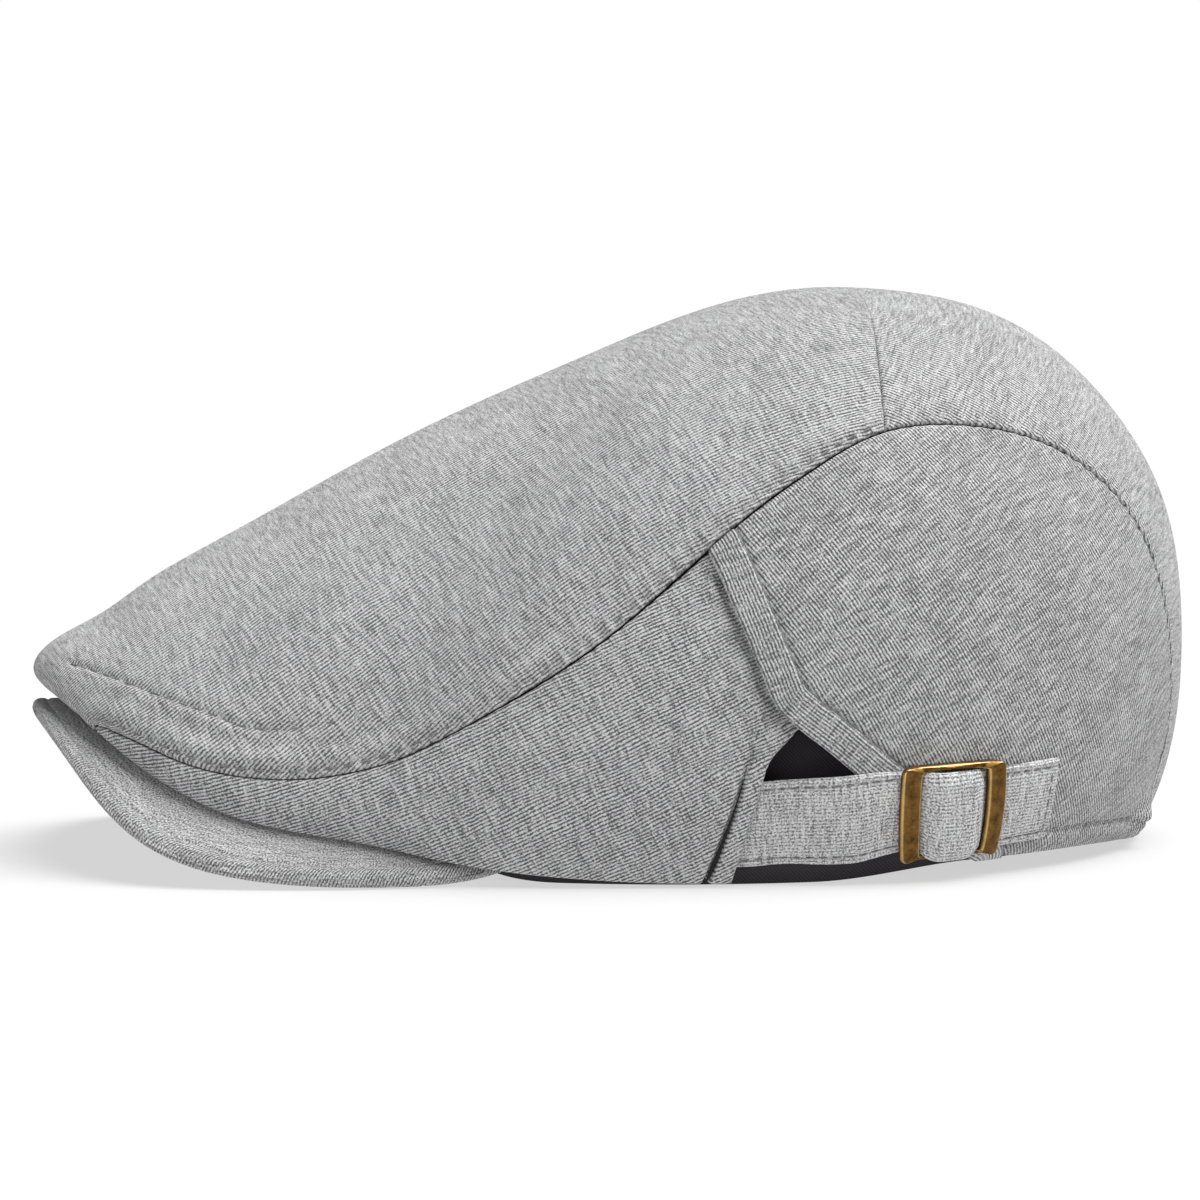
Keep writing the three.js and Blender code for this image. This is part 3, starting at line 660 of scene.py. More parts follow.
class Material(Nodes):
    """A material and its nodes."""

    def __init__(self, name):
        self.made = bpy.data.materials.new(name)
        self.made.use_nodes = True
        super().__init__(self.made.node_tree)
        self.shader = self.tree.nodes["Principled BSDF"]

    def shade(self, inputs):
        for name, value in inputs.items():
            self.link(value, self.shader.inputs[name])
        return self.made

    def finish(self, colour, strength, depth, height, inputs):
        """Sets the colour, a bump of the given depth in millimetres, and the shader's other sockets."""
        bump = self.add("ShaderNodeBump", {"Strength": strength, "Distance": depth * MM, "Height": height})
        return self.shade({"Base Color": colour, "Normal": bump.outputs[0], **inputs})


class Cloth(Material):
    """On cloth, u runs across the ribs and v along them, both in millimetres."""

    def __init__(self, name):
        super().__init__(name)
        uv = self.add("ShaderNodeUVMap", uv_map="grain").outputs[0]
        parts = self.add("ShaderNodeSeparateXYZ", {0: uv})
        self.u, self.v = parts.outputs[0], parts.outputs[1]

    def spots(self, by_u, by_v, shift, detail=2.0, roughness=0.5):
        """Noise over the cloth, of a fineness across and one along the ribs."""
        x = self.math("MULTIPLY_ADD", self.u, by_u, shift)
        y = self.math("MULTIPLY_ADD", self.v, by_v, shift)
        place = self.add("ShaderNodeCombineXYZ", {0: x, 1: y, 2: shift}).outputs[0]
        return self.noise(place, 1.0, detail, roughness)


DARK = (0.1, 0.1, 0.102)
LIGHT = (0.66, 0.66, 0.665)


def jersey(
    name, dark=DARK, light=LIGHT, rib=1.05, streak=1.9, speck=2.4, level=0.5,
    edge_band=0.0, pitch=RIB, depth=0.28,
):
    """Heather knit: ribs, streaks of other fibres across them, and specks. In an edge band the ribs slant."""
    m = Cloth(name)
    wander = m.spots(0.05, 0.05, 3.0, 3.0)
    jitter = m.spots(0.6, 0.4, 17.0)
    steady = m.math("MULTIPLY_ADD", wander, 1.5, m.math("MULTIPLY_ADD", jitter, 0.4, m.u))
    if edge_band:
        steady = m.math("MULTIPLY_ADD", m.v, 0.55, steady)
    ribs = m.math("POWER", m.wave(steady, pitch), 0.7)
    broken = m.math("MULTIPLY_ADD", m.spots(0.9, 0.55, 7.0), 3.4, -0.85, clamp=True)
    streaks = m.spots(0.16, 1.15, 11.0, 4.0, 0.65)
    tones = m.spots(0.035, 0.09, 5.0, 3.0)
    specks = m.spots(2.6, 2.0, 1.0, 2.0, 0.6)
    rib_part = m.math("MULTIPLY", m.math("SUBTRACT", ribs, 0.62), broken)
    if edge_band:
        shown = m.math("MULTIPLY_ADD", m.math("LESS_THAN", m.v, edge_band), 0.9, 0.15)
        rib_part = m.math("MULTIPLY", rib_part, shown)
    share = m.swing(m.math("MULTIPLY_ADD", rib_part, rib, level), streaks, streak)
    share = m.swing(m.swing(share, specks, speck), tones, 0.35, clamp=True)
    height = m.math("MULTIPLY_ADD", streaks, 0.3, m.math("MULTIPLY_ADD", specks, 0.6, rib_part))
    matte = {"Roughness": 0.92, "Specular IOR Level": 0.2, "Sheen Weight": 0.12, "Sheen Roughness": 0.5}
    return m.finish(m.mix(share, dark, light), 0.75, depth, height, matte)


def black_cloth(name, light, pitch):
    """Black twill."""
    m = Cloth(name)
    twill = m.wave(m.math("ADD", m.u, m.v), pitch)
    specks = m.spots(1.7, 1.7, 2.0)
    tones = m.math("MULTIPLY", m.spots(0.08, 0.08, 9.0, 3.0), 0.3)
    share = m.math("MULTIPLY_ADD", twill, 0.4, m.math("MULTIPLY_ADD", specks, 0.4, tones), clamp=True)
    colour = m.mix(share, (0.016, 0.0145, 0.017), light)
    return m.finish(colour, 0.6, 0.15, share, {"Roughness": 0.95, "Specular IOR Level": 0.15})


def brass():
    """Antique brass: brown film in the low places, pale metal on the worn edges."""
    m = Material("antique_brass_worn")
    place = m.add("ShaderNodeTexCoord").outputs["Object"]
    worn = m.add("ShaderNodeAttribute", attribute_name="worn").outputs["Fac"]
    blotch = m.noise(place, 420.0, 4.0, 0.7)
    grain = m.noise(place, 2600.0, 2.0, 0.6)
    film = m.math("MULTIPLY_ADD", blotch, 2.6, -0.8, clamp=True)
    body = m.mix(film, (0.045, 0.022, 0.006), (0.2, 0.105, 0.027))
    edge = m.math("MULTIPLY", worn, m.math("MULTIPLY_ADD", blotch, 1.2, 0.25), clamp=True)
    rough = m.math("MULTIPLY_ADD", grain, 0.3, m.math("MULTIPLY_ADD", edge, -0.2, 0.3), clamp=True)
    colour = m.mix(edge, body, (0.62, 0.4, 0.16))
    return m.finish(colour, 0.5, 0.05, m.math("ADD", grain, blotch), {"Roughness": rough, "Metallic": 1.0})


STRAP_TONES = ((0.13, 0.13, 0.132), (0.74, 0.74, 0.745))
THREAD_TONES = ((0.08, 0.08, 0.082), (0.42, 0.42, 0.425))
MATERIALS = {
    "panel": jersey("heather_jersey"),
    "front": jersey("front_heather_jersey", rib=1.35, streak=2.1, speck=3.1, level=0.51),
    # The rear side panels get a darker copy of the same jersey (lower level): painted shade on that side of
    # the cap.
    "rear": jersey("rear_heather_jersey_painted_shade", rib=1.1, speck=2.5, level=0.44),
    "brim": jersey("brim_heather_jersey", rib=0.8, streak=1.2, speck=3.5, level=0.47, edge_band=4.7),
    "strap": jersey(
        "strap_heather_jersey", *STRAP_TONES, rib=0.5, streak=1.8, speck=3.4, level=0.6, pitch=0.8
    ),
    "thread": jersey("grey_thread", *THREAD_TONES, rib=0.3, level=0.4, pitch=0.5, depth=0.05),
    "band": black_cloth("black_cotton_band", (0.07, 0.062, 0.068), 0.9),
    "lining": black_cloth("black_lining", (0.03, 0.027, 0.03), 0.6),
    "brass": brass(),
}


# Crown panels

main_edge = Edge(seam)
cross_edge = Edge(cross_line)
lap_edge = Edge(lap_line)
end_edge = Edge(end_line)
hem_edge = Edge(hem_line((1.0, 1e-4), (-1.0, 1e-4), 700))
tack_edge = Edge(tack_line)
end_stitch_edge = Edge(end_stitch_line)
lap_disc = even_line(lap_line, 1.0)
lap_points = crown_point(lap_disc)


def cross_lift(points):
    """The cross seam shows at its ends and is pressed flat towards the top."""
    gap, run = cross_edge.near(points)
    shown = 0.05 + 0.95 * smooth(np.abs(points[..., 1]), 40, 54)
    return (rolled(gap, 0.9) + puckers(gap, run, 0.2, 2.5)) * shown


def top_lift(disc):
    points = crown_point(disc)
    right = on_right(points)
    seam_gap, seam_run = main_edge.near(right)
    lift = rolled(seam_gap, SEAM_ROLL) + puckers(seam_gap - 1.3, seam_run, 0.36, 2.4)
    lift += swell(seam_gap - 4.2, 0.45, 2.2) * smooth(seam_run, 8, 30)
    lift += groove(seam_gap - 1.9, 0.3, 0.6) + groove(seam_gap - 8.0, 0.22, 1.6) + cross_lift(points)
    tack_gap, tack_run = tack_edge.near(right)
    ends = smooth(tack_run, 0, 12) * smooth(tack_edge.reach[-1] - tack_run, 0, 25)
    lift += (groove(tack_gap, 0.6, 0.7) + puckers(tack_gap, tack_run, 0.3, 2.4)) * ends
    return lift + softness(points, 0.32) + fullness(points)


def strip_lift(disc):
    points = crown_point(disc)
    seam_gap, seam_run = main_edge.near(on_right(points))
    hem_gap, hem_run = hem_edge.near(on_right(points))
    lift = rolled(seam_gap, SEAM_ROLL) + puckers(seam_gap - 1.3, seam_run, 0.3, 2.4)
    lift += swell(seam_gap - 4.2, 0.25, 2.6) + cross_lift(points)
    lift += groove(hem_gap - HEM_STITCH, 0.35, 0.8) + puckers(hem_gap - HEM_STITCH, hem_run, 0.18, 2.5)
    return lift + swell(hem_gap - 2.6, 0.7, 2.2) + softness(points, 0.3) + fullness(points)


def rear_lift(disc):
    points = crown_point(disc)
    seam_gap, seam_run = main_edge.near(points)
    lap_gap, lap_run = lap_edge.near(points)
    hem_gap, hem_run = hem_edge.near(points)
    lift = rolled(seam_gap, SEAM_ROLL) + puckers(seam_gap, seam_run, 0.24, 2.8)
    lift += 0.75 * smooth(lap_gap, BAND + 0.5, BAND - 0.6) + groove(lap_gap - BAND - 0.4, 0.6, 0.6)
    lift += puckers(lap_gap - BAND + 0.8, lap_run, 0.24, 2.4)
    lift += groove(hem_gap - HEM_STITCH, 0.65, 0.7) + puckers(hem_gap - 5, hem_run, 0.26, 3.0)
    return lift + swell(hem_gap - 2.8, 0.5, 2.4) + softness(points, 0.3) + fullness(points)


def front_sink(disc):
    """How far the front panel lies below the crown's surface, to pass under the rear one."""
    points = crown_point(disc).reshape(-1, 3)
    flat = disc.reshape(-1, 2)
    out = np.zeros(len(flat))
    for first in range(0, len(flat), CHUNK):
        now = slice(first, first + CHUNK)
        gap = np.linalg.norm(points[now, None] - lap_points, axis=-1)
        i = np.minimum(gap.argmin(1), len(lap_disc) - 2)
        along = lap_disc[i + 1] - lap_disc[i]
        away = flat[now] - lap_disc[i]
        side = along[:, 0] * away[:, 1] - along[:, 1] * away[:, 0]
        out[now] = np.where(side > 0, 1, -1) * gap.min(1)
    return (smooth(-out, -22.0, -2.0) * FRONT_SINK).reshape(disc.shape[:-1])


def front_lift(disc):
    points = crown_point(disc)
    seam_gap, seam_run = main_edge.near(points)
    end_gap, end_run = end_edge.near(points)
    lap_gap, lap_run = lap_edge.near(points)
    stitch_gap, stitch_run = end_stitch_edge.near(points)
    total = end_stitch_edge.reach[-1]
    low = smooth(stitch_run, 0.3 * total, 0.8 * total)
    shown = smooth(stitch_run, 0, 6)
    lift = rolled(seam_gap, SEAM_ROLL) + puckers(seam_gap, seam_run, 0.2, 2.6)
    lift += groove(stitch_gap, 0.6, 0.8) * shown + groove(stitch_gap, 3.6, 0.55) * low
    lift += puckers(stitch_gap, stitch_run, 0.28, 3.2) * shown
    lift += swell(end_gap - 4.5, 0.35, 3.5) * smooth(end_run, 25, 45)
    lift += groove(lap_gap, 2.2, 0.75) * smooth(lap_run, 1, 10) * smooth(lap_run, 60, 50)
    return lift + softness(points, 0.32) + fullness(points) - front_sink(disc)


def panel(make, name, disc, lift, free_edges, grain, material, node):
    """Dresses a node with a wall of cloth over the places of the disc."""
    right = on_right(crown_point(disc))
    free = np.min([edge.near(right)[0] for edge in free_edges], axis=0) - 0.2
    walls = hemmed_wall(disc, lift(disc), np.maximum(free, 0))
    faces = outward(walls, wall_faces(*disc.shape[:2]))
    uv = np.tile(grain.reshape(-1, 2), (2, 1))
    make(name, walls, faces, MATERIALS[material], "grey_jersey", node, uv=uv)


def middle_panel(name, left, low, a, b, lift, shift, node):
    """A panel between the two main seams, from its low line to the cross seam."""
    disc = panel_grid(low, cross_line, left, other_side(left), a, b, (0.2, 0.0, 0.36, 0.36))
    panel(dress, name, disc, lift, [hem_edge], grain_uv(disc, 90) + shift, "panel", node)


def top_panel():
    left = seam[: cross_at + 1]
    low = hem_line(left[0], other_side(left[0]))
    low[0], low[-1] = left[0], other_side(left[0])
    a, b = spacing(150, 0.35, 1.7, 2.5), spacing(300, 0.4, 1.25, 2.5)
    middle_panel("top_cloth", left, low, a, b, top_lift, 0.0, "top_panel")


def back_strip():
    left = seam[cross_at:][::-1]
    low = hem_line(left[0], other_side(left[0]))
    a, b = spacing(130, 0.4, 1.6, 2.5), spacing(170, 0.4, 1.5, 8)
    middle_panel("back_cloth", left, low, a, b, strip_lift, 31.0, "back_strip")


def front_panels():
    high = seam[tip_at : under_at + 1][::-1]
    left = end_line[::-1]
    tip_turn = math.radians(FRONT_TIP_TURN)
    tip = np.array([math.cos(tip_turn), math.sin(tip_turn)])
    low = hem_line(left[0], tip)
    low[0] = left[0]
    right = np.linspace(tip, high[-1], 50)
    disc = panel_grid(low, high, left, right, spacing(230, 0.45, 1.3, 12), spacing(60, 0.35, 1.4, 2.5))
    grain = grain_uv(disc, -12) + 77.0
    panel(dress_sides, "front_cloth", disc, front_lift, [hem_edge, end_edge], grain, "front", "side_front")


def rear_panels():
    high = seam[lap_at : rear_at + 1]
    right = seam[rear_at:][::-1]
    left = lap_line[::-1]
    low = hem_line(left[0], right[0])
    low[0], low[-1] = left[0], right[0]
    disc = panel_grid(low, high, left, right, spacing(110, 0.4, 1.3, 12), spacing(110, 0.4, 1.4, 8))
    banded = np.stack(lap_edge.near(crown_point(disc)), -1)
    grain = np.where(banded[..., :1] < BAND + 0.2, banded, grain_uv(disc, -62) + 143.0)
    panel(dress_sides, "rear_cloth", disc, rear_lift, [hem_edge, lap_edge], grain, "rear", "side_back")


def lining():
    """The black lining just inside the panels, from above the band to the peak."""
    turns = np.linspace(-math.pi, math.pi, 145)[:-1]
    ways = np.stack([np.cos(turns), np.sin(turns)], -1)[:, None]
    climbs = np.linspace(0, 1, 200)
    heights = crown_point((1 - climbs)[:, None] * ways)[..., 2]
    seat = np.maximum(heights[:, 0] + 5.0, BAND_HEIGHT - 3.0)
    heights = np.maximum.accumulate(heights, 1)
    start = np.array([[np.interp(s, h, climbs)] for s, h in zip(seat, heights)])
    climb = start + (1 - start) * np.linspace(0, 0.985, 60)
    disc = (1 - climb)[..., None] * ways
    points = crown_point(disc)
    normals = crown_normal(disc)
    right = crown_point(on_right(disc))
    near_end = np.minimum(end_edge.near(right)[0], lap_edge.near(right)[0])
    under_peak = JERSEY_WALL + LINING_GAP
    depth = under_peak + (PANEL_WALL + LAP_GAP + 0.1) * smooth(near_end, 44, 26)
    depth = (depth - softness(points, 0.31) - fullness(points))[..., None]
    layers = [(points - normals * (depth + wall)).reshape(-1, 3) for wall in (0.0, 0.3)]
    walls = np.concatenate(layers + [[PEAK - [0, 0, under_peak], PEAK - [0, 0, under_peak + 0.3]]])
    rows, columns = climb.shape
    count = rows * columns
    outside = grid_faces(rows, columns, wrap=True)
    inside = grid_faces(rows, columns, count, wrap=True, flip=True)
    index = np.arange(count).reshape(rows, columns)
    foot, rim = index[:, 0], index[:, -1]
    next_foot, next_rim = np.roll(foot, -1), np.roll(rim, -1)
    hem = np.stack([foot, foot + count, next_foot + count, next_foot], -1)
    quads = np.concatenate([outside, inside, hem])
    top = np.full(rows, 2 * count)
    caps = [np.stack([rim, next_rim, top], -1), np.stack([next_rim + count, rim + count, top + 1], -1)]
    tris = np.concatenate([quads[:, :3], quads[:, [0, 2, 3]]] + caps)
    flat = points[..., :2].reshape(-1, 2)
    uv = np.concatenate([flat, flat, [[PEAK[0], 0.0]] * 2])
    dress("lining_cloth", walls, outward(walls, tris), MATERIALS["lining"], "black_band", uv=uv)


# Stitches


def tubes(centres, radius):
    """Closed six-sided tubes along rows of centres (count, stations, 3)."""
    count, stations = centres.shape[:2]
    along = unit(np.gradient(centres, axis=1))
    one = unit(np.cross(along, np.array([0.31, 0.52, 0.79])))
    two = np.cross(along, one)
    turns = (np.arange(6) * math.pi / 3)[:, None]
    width = radius * np.sqrt(np.maximum(1 - np.abs(np.linspace(-1, 1, stations)) ** 6, 0.05))
    ring = one[:, :, None] * np.cos(turns) + two[:, :, None] * np.sin(turns)
    points = centres[:, :, None] + ring * width[None, :, None, None]
    index = np.arange(count * stations * 6).reshape(count, stations, 6)
    after = np.roll(index, -1, 2)
    quads = np.stack([index[:, :-1], after[:, :-1], after[:, 1:], index[:, 1:]], -1)
    halves = np.array([[0, 1, 2, 3], [0, 3, 4, 5]])
    parts = [quads, index[:, 0][:, halves[:, ::-1]], index[:, -1][:, halves]]
    return points.reshape(-1, 3), np.concatenate([part.reshape(-1, 4) for part in parts])


STITCH_SHARES = np.linspace(-1, 1, 7)


def stitch_centres(disc_line, lift):
    """Centres of single stitches along a disc line, each bowed and sunk at its ends."""
    reach = run_lengths(crown_point(disc_line))
    count = max(1, int(reach[-1] / STITCH_PITCH))
    middle = (np.arange(count) + 0.5) * reach[-1] / count
    want = middle[:, None] + STITCH_SHARES * STITCH_LENGTH / 2
    disc = np.stack([np.interp(want, reach, disc_line[:, k]) for k in range(2)], -1)
    out = lift(disc) + STITCH_PROUD - (THREAD + 0.3) * STITCH_SHARES**4
    return crown_point(disc) + crown_normal(disc) * out[..., None]


def beside(line, distance):
    """A disc line a set distance to the left of another one, seen from outside along its run."""
    disc = even_line(line, 1.0)
    along = unit(np.gradient(crown_point(disc), axis=0))
    return moved_over(disc, np.cross(crown_normal(disc), along) * distance)


def stitches():
    hem = hem_edge.disc
    hem_turn = np.degrees(np.arctan2(hem[:, 1], hem[:, 0]))
    on_rear = (hem_turn > 34) & (hem_turn < 80)
    on_strip = (hem_turn > 1) & (hem_turn < 27)
    rows = [
        (beside(seam[: cross_at + 1], -SEAM_STITCH)[6:-2], top_lift),
        (tack_line[20:-30], top_lift),
        (beside(lap_line, -LAP_STITCH)[4:-4], rear_lift),
        (end_stitch_line[20:], front_lift),
        (beside(hem[on_rear], HEM_STITCH), rear_lift),
        (beside(hem[on_strip], HEM_STITCH), strip_lift),
    ]
    points, faces = tubes(np.concatenate([stitch_centres(line, lift) for line, lift in rows]), THREAD)
    uv = points[:, :2] * 3 + 0.1
    dress_sides("crown_stitches", points, faces, MATERIALS["thread"], "grey_jersey", uv=uv)


def hem_gap_shadows():
    """A thin tube of black lining cloth just under the surface along the lower part of the front panel's end
    stitching: a painted shadow for the dark gap that opens there.
    """
    disc = even_line(end_stitch_line, 0.8)
    disc = disc[(np.arange(len(disc)) > 0.5 * len(disc)) & (np.hypot(disc[:, 0], disc[:, 1]) < 0.998)]
    points = crown_point(disc)
    out = softness(points, 0.32) + fullness(points) - front_sink(disc) - 0.3
    centres = (points + crown_normal(disc) * out[:, None])[None]
    gap, faces = tubes(centres, np.linspace(0.1, 0.55, len(disc)))
    # The hem_gap pieces are painted shadow, made with the lining's black cloth.
    dress_sides("hem_gap", gap, faces, MATERIALS["lining"], "black_band", uv=gap[:, :2])


# Brim


def brim():
    turns = np.linspace(-BRIM_TAIL_TURN, BRIM_TAIL_TURN, 1201)
    edge = brim_edge(turns)
    reach = run_lengths(np.concatenate([edge, brim_top(edge[:, 1])[:, None]], 1))
    run = np.linspace(0, reach[-1], 330)
    turn = np.interp(run, reach, turns)
    run = run[:, None]
    fuller = swell(np.abs(turn) - 50, 3.8, 19)
    outer = brim_edge(turn) + brim_outward(turn) * fuller[:, None]
    head_end = brim_edge(np.array(BRIM_TAIL_TURN))[0]
    head_turn = math.degrees(math.acos(2 * head_end / (HEAD_LENGTH + 2 * LAYER_GAP)))
    inner = head_point(180 - turn / BRIM_TAIL_TURN * (180 - head_turn), LAYER_GAP)
    wide = np.linalg.norm(outer - inner, axis=1)[:, None]
    places = np.concatenate([np.linspace(0, 5, 18), np.linspace(5, 80, 46)[1:]])
    on_wide = np.minimum(places, 5) + np.maximum(places - 5, 0) / 75 * (wide - 5)
    from_edge = np.where(wide > 20, on_wide, places / 80 * wide)
    share = (from_edge / wide)[..., None]
    plan = outer[:, None] * (1 - share) + inner[:, None] * share
    height = brim_top(plan[..., 1])
    fall = rolled(from_edge, BRIM_THICKNESS / 2)
    uneven = 0.12 * np.sin(run / 5.0 + np.sin(run / 13.0) * 2) * swell(from_edge, 1.0, 5)
    top = height + fall + groove(from_edge - 3.6, 0.4, 0.5) + uneven
    foot = height - BRIM_THICKNESS - fall
    walls = np.concatenate([np.concatenate([plan, up[..., None]], -1).reshape(-1, 3) for up in (top, foot)])
    round_edge = wrapped(from_edge, BRIM_THICKNESS / 2)
    runs = np.broadcast_to(run, round_edge.shape)
    uv = np.stack([np.stack([runs, round_edge], -1), np.stack([runs, -round_edge], -1)]).reshape(-1, 2)
    faces = outward(walls, wall_faces(*from_edge.shape))
    dress("brim_cloth", walls, faces, MATERIALS["brim"], "brim_jersey", "brim", uv=uv)


# Inner band


def inner_band():
    steps = 420
    turns = np.arange(steps) * 360 / steps
    plan = head_point(turns)
    back = plan[:, 0]
    hem = hem_edge.points[np.argsort(hem_edge.points[:, 0])]
    hem_height = np.interp(back * 1.04, hem[:, 0], hem[:, 2])
    tucked = np.maximum(smooth(back, 38, 76) * np.maximum(hem_height - 0.5, 0), 3.0 * smooth(back, 12, 52))
    under_brim = (brim_top(plan[:, 1]) - BRIM_THICKNESS) * smooth(-back, 45, 85)
    foot = np.where(back < 0, under_brim, tucked)
    profile = [(0.0, BAND_HEIGHT * k / 5.5) for k in range(6)]
    profile += [(-out, BAND_HEIGHT - down) for out, down in ((0.1, 0.6), (0.5, 0.1), (1.0, 0.1), (1.4, 0.6))]
    profile += [(-BAND_WALL, BAND_HEIGHT * (1 - k / 7.0)) for k in range(1, 6)]
    rise = BAND_BINDING_HEIGHT + BAND_BINDING - BAND_WALL
    profile += [(-BAND_WALL, rise), (-BAND_WALL - 0.3, rise - 0.5), (-2.2, BAND_BINDING_HEIGHT + 0.5)]
    profile += [(-2.7, BAND_BINDING_HEIGHT - 0.3), (-BAND_BINDING, 3.0), (-BAND_BINDING, 1.0)]
    profile = np.array(profile + [(-2.5, 0.3), (-2.0, 0.02), (-0.7, 0.02), (-0.2, 0.3)])
    ring = [np.concatenate([head_point(turns, out), (foot + up)[:, None]], 1) for out, up in profile]
    points = np.stack(ring, 1)
    runs = np.meshgrid(run_lengths(plan), run_lengths(profile), indexing="ij")
    faces = outward(points, ring_faces(steps, len(profile)))
    uv = np.stack(runs, -1).reshape(-1, 2)
    dress("band_cloth", points, faces, MATERIALS["band"], "black_band", "sweatband", uv=uv)


# Straps and buckles

# Turns in degrees, and climbs, of the places that the strap's middle line passes
STRAP_PATH = [(65, 0.12), (76, 0.117), (94, 0.12), (103, 0.115), (114, 0.115), (127, 0.117)]
strap_line = through(STRAP_PATH, 60)


def strap_disc(turn, climb):
    turn = np.radians(turn)
    return (1 - climb)[..., None] * np.stack([np.cos(turn), np.sin(turn)], -1)


strap_reach = run_lengths(crown_point(strap_disc(*strap_line.T)))
STRAP_LENGTH = strap_reach[-1]
STRAP_OVER, STRAP_UNDER = np.interp([STRAP_OVER_TURN, STRAP_UNDER_TURN], strap_line[:, 0], strap_reach)
STRAP_ROLL = 0.85
STRAP_STITCH = 1.9
STRAP_STITCH_PITCH = 3.0
STRAP_THREAD = 0.2
STRAP_SEWN = 20.0
BUCKLE_MIDDLE = STRAP_TAB + BUCKLE_LENGTH / 2
BUCKLE_RISE = 0.5
OUTER_LIFT = LAYER_GAP
INNER_LIFT = -PANEL_WALL - LAP_GAP - STRAP_THICKNESS
CROSSOVER_LIFT = OUTER_LIFT + BUCKLE_METAL + LAYER_GAP


def strap_point(along, across, out):
    along, across, out = np.broadcast_arrays(along, across, out)
    turn = np.interp(along, strap_reach, strap_line[:, 0])
    climb = np.interp(along, strap_reach, strap_line[:, 1])
    for _ in range(4):
        here = crown_point(strap_disc(turn, climb))
        above = crown_point(strap_disc(turn, climb + 0.005))
        climb = climb + across / 4 / (np.linalg.norm(above - here, axis=-1) / 0.005)
    disc = strap_disc(turn, climb)
    return crown_point(disc) + crown_normal(disc) * out[..., None]


def strap_lift(along):
    inside = smooth(along, STRAP_OVER, STRAP_UNDER)
    off_middle = np.abs(along - BUCKLE_MIDDLE)
    over = 1 - smooth(off_middle, BUCKLE_MIDDLE_BAR / 2 + 1.5, STRAP_CROSSOVER - BUCKLE_BAR / 2 + 0.3)
    return OUTER_LIFT + inside * (INNER_LIFT - OUTER_LIFT) + over * (CROSSOVER_LIFT - OUTER_LIFT)


def strap_spread(along, across, window=0.0, bars=0.0):
    """Where across the cap a place of the strap lies: wider in the buckle's window, gathered at its bars."""
    past = along - BUCKLE_MIDDLE
    free = smooth(past, 14, 24)
    wide = across * (1 + 0.06 * window + 0.07 * free - 0.045 * bars)
    return wide - 0.4 * window - 0.35 * free + 1.1 * smooth(past, 3, 14) * smooth(-past, -58, -24)


def strap_skin(along, across):
    """How far the strap's outer face stands out, with its stitched edges and the puff between the bars."""
    edge = STRAP_WIDTH / 2 - np.abs(across)
    near = np.minimum(edge, np.maximum(along, 0))
    window = 1 - smooth(np.abs(along - BUCKLE_MIDDLE), 7.0, 8.6)
    lift = strap_lift(along) + STRAP_THICKNESS + rolled(near, STRAP_ROLL)
    lift = lift + groove(edge - STRAP_STITCH, 0.5, 0.45) * (1 - window)
    lift = lift + groove(along - 2.0, 0.35, 0.45) * (edge > 1.6)
    lift = lift + 0.1 * np.sin(along / 2.3 + np.sin(across)) * swell(edge, 1.0, 3)
    return lift + window * (0.5 + 1.0 * smooth(edge, 0, 3.0)) + 0.12 * np.sin(along / 7.0 + across / 5.0)


def straps():
    along = spacing(STRAP_LENGTH, 0.25, 0.8, 2.5) * STRAP_LENGTH
    across = (spacing(STRAP_WIDTH, 0.22, 0.7, 2.4) - 0.5) * STRAP_WIDTH
    run, wide = np.meshgrid(along, across, indexing="ij")
    off_middle = np.abs(run - BUCKLE_MIDDLE)
    window = 1 - smooth(off_middle, 4.6, 9.4)
    bars = swell(off_middle - BUCKLE_LENGTH / 2 + BUCKLE_BAR / 2, 1.0, 3.2)
    spread = strap_spread(run, wide, window, bars)
    from_edge = STRAP_WIDTH / 2 - np.abs(wide)
    outer = strap_point(run, spread, strap_skin(run, wide))
    inner_out = strap_lift(run) + 0.6 * window - rolled(np.minimum(from_edge, run), STRAP_ROLL)
    inner = strap_point(run, spread, inner_out)
    walls = np.concatenate([outer.reshape(-1, 3), inner.reshape(-1, 3)])
    round_edge = wrapped(from_edge, STRAP_ROLL)
    half = wrapped(STRAP_WIDTH / 2, STRAP_ROLL)
    uv = np.stack([np.stack([np.sign(wide) * (half + way * round_edge), run], -1) for way in (-1, 1)])
    faces = outward(walls, wall_faces(*run.shape))
    uv = uv.reshape(-1, 2) + 30.0
    dress_sides("strap_cloth", walls, faces, MATERIALS["strap"], "strap_jersey", "strap", uv=uv)

    swing = STITCH_SHARES * 1.1
    middle = np.arange(2.0 + STRAP_STITCH_PITCH / 2, STRAP_LENGTH - STRAP_SEWN, STRAP_STITCH_PITCH)
    middle = middle[np.abs(middle - BUCKLE_MIDDLE) > BUCKLE_LENGTH / 2 + 0.8]
    at = middle[:, None] + swing
    rows = [(at, np.full_like(at, side * (STRAP_WIDTH / 2 - STRAP_STITCH))) for side in (-1, 1)]
    off = np.arange(-STRAP_WIDTH / 2 + 3.2, STRAP_WIDTH / 2 - 2.5, STRAP_STITCH_PITCH)[:, None] + swing
    rows.append((np.full_like(off, 2.0), off))
    sunk = 0.16 - 0.45 * STITCH_SHARES**4
    centres = [strap_point(at, strap_spread(at, off), strap_skin(at, off) + sunk) for at, off in rows]
    thread, faces = tubes(np.concatenate(centres), STRAP_THREAD)
    dress_sides("strap_stitches", thread, faces, MATERIALS["thread"], "strap_jersey", uv=thread[:, :2] * 3)


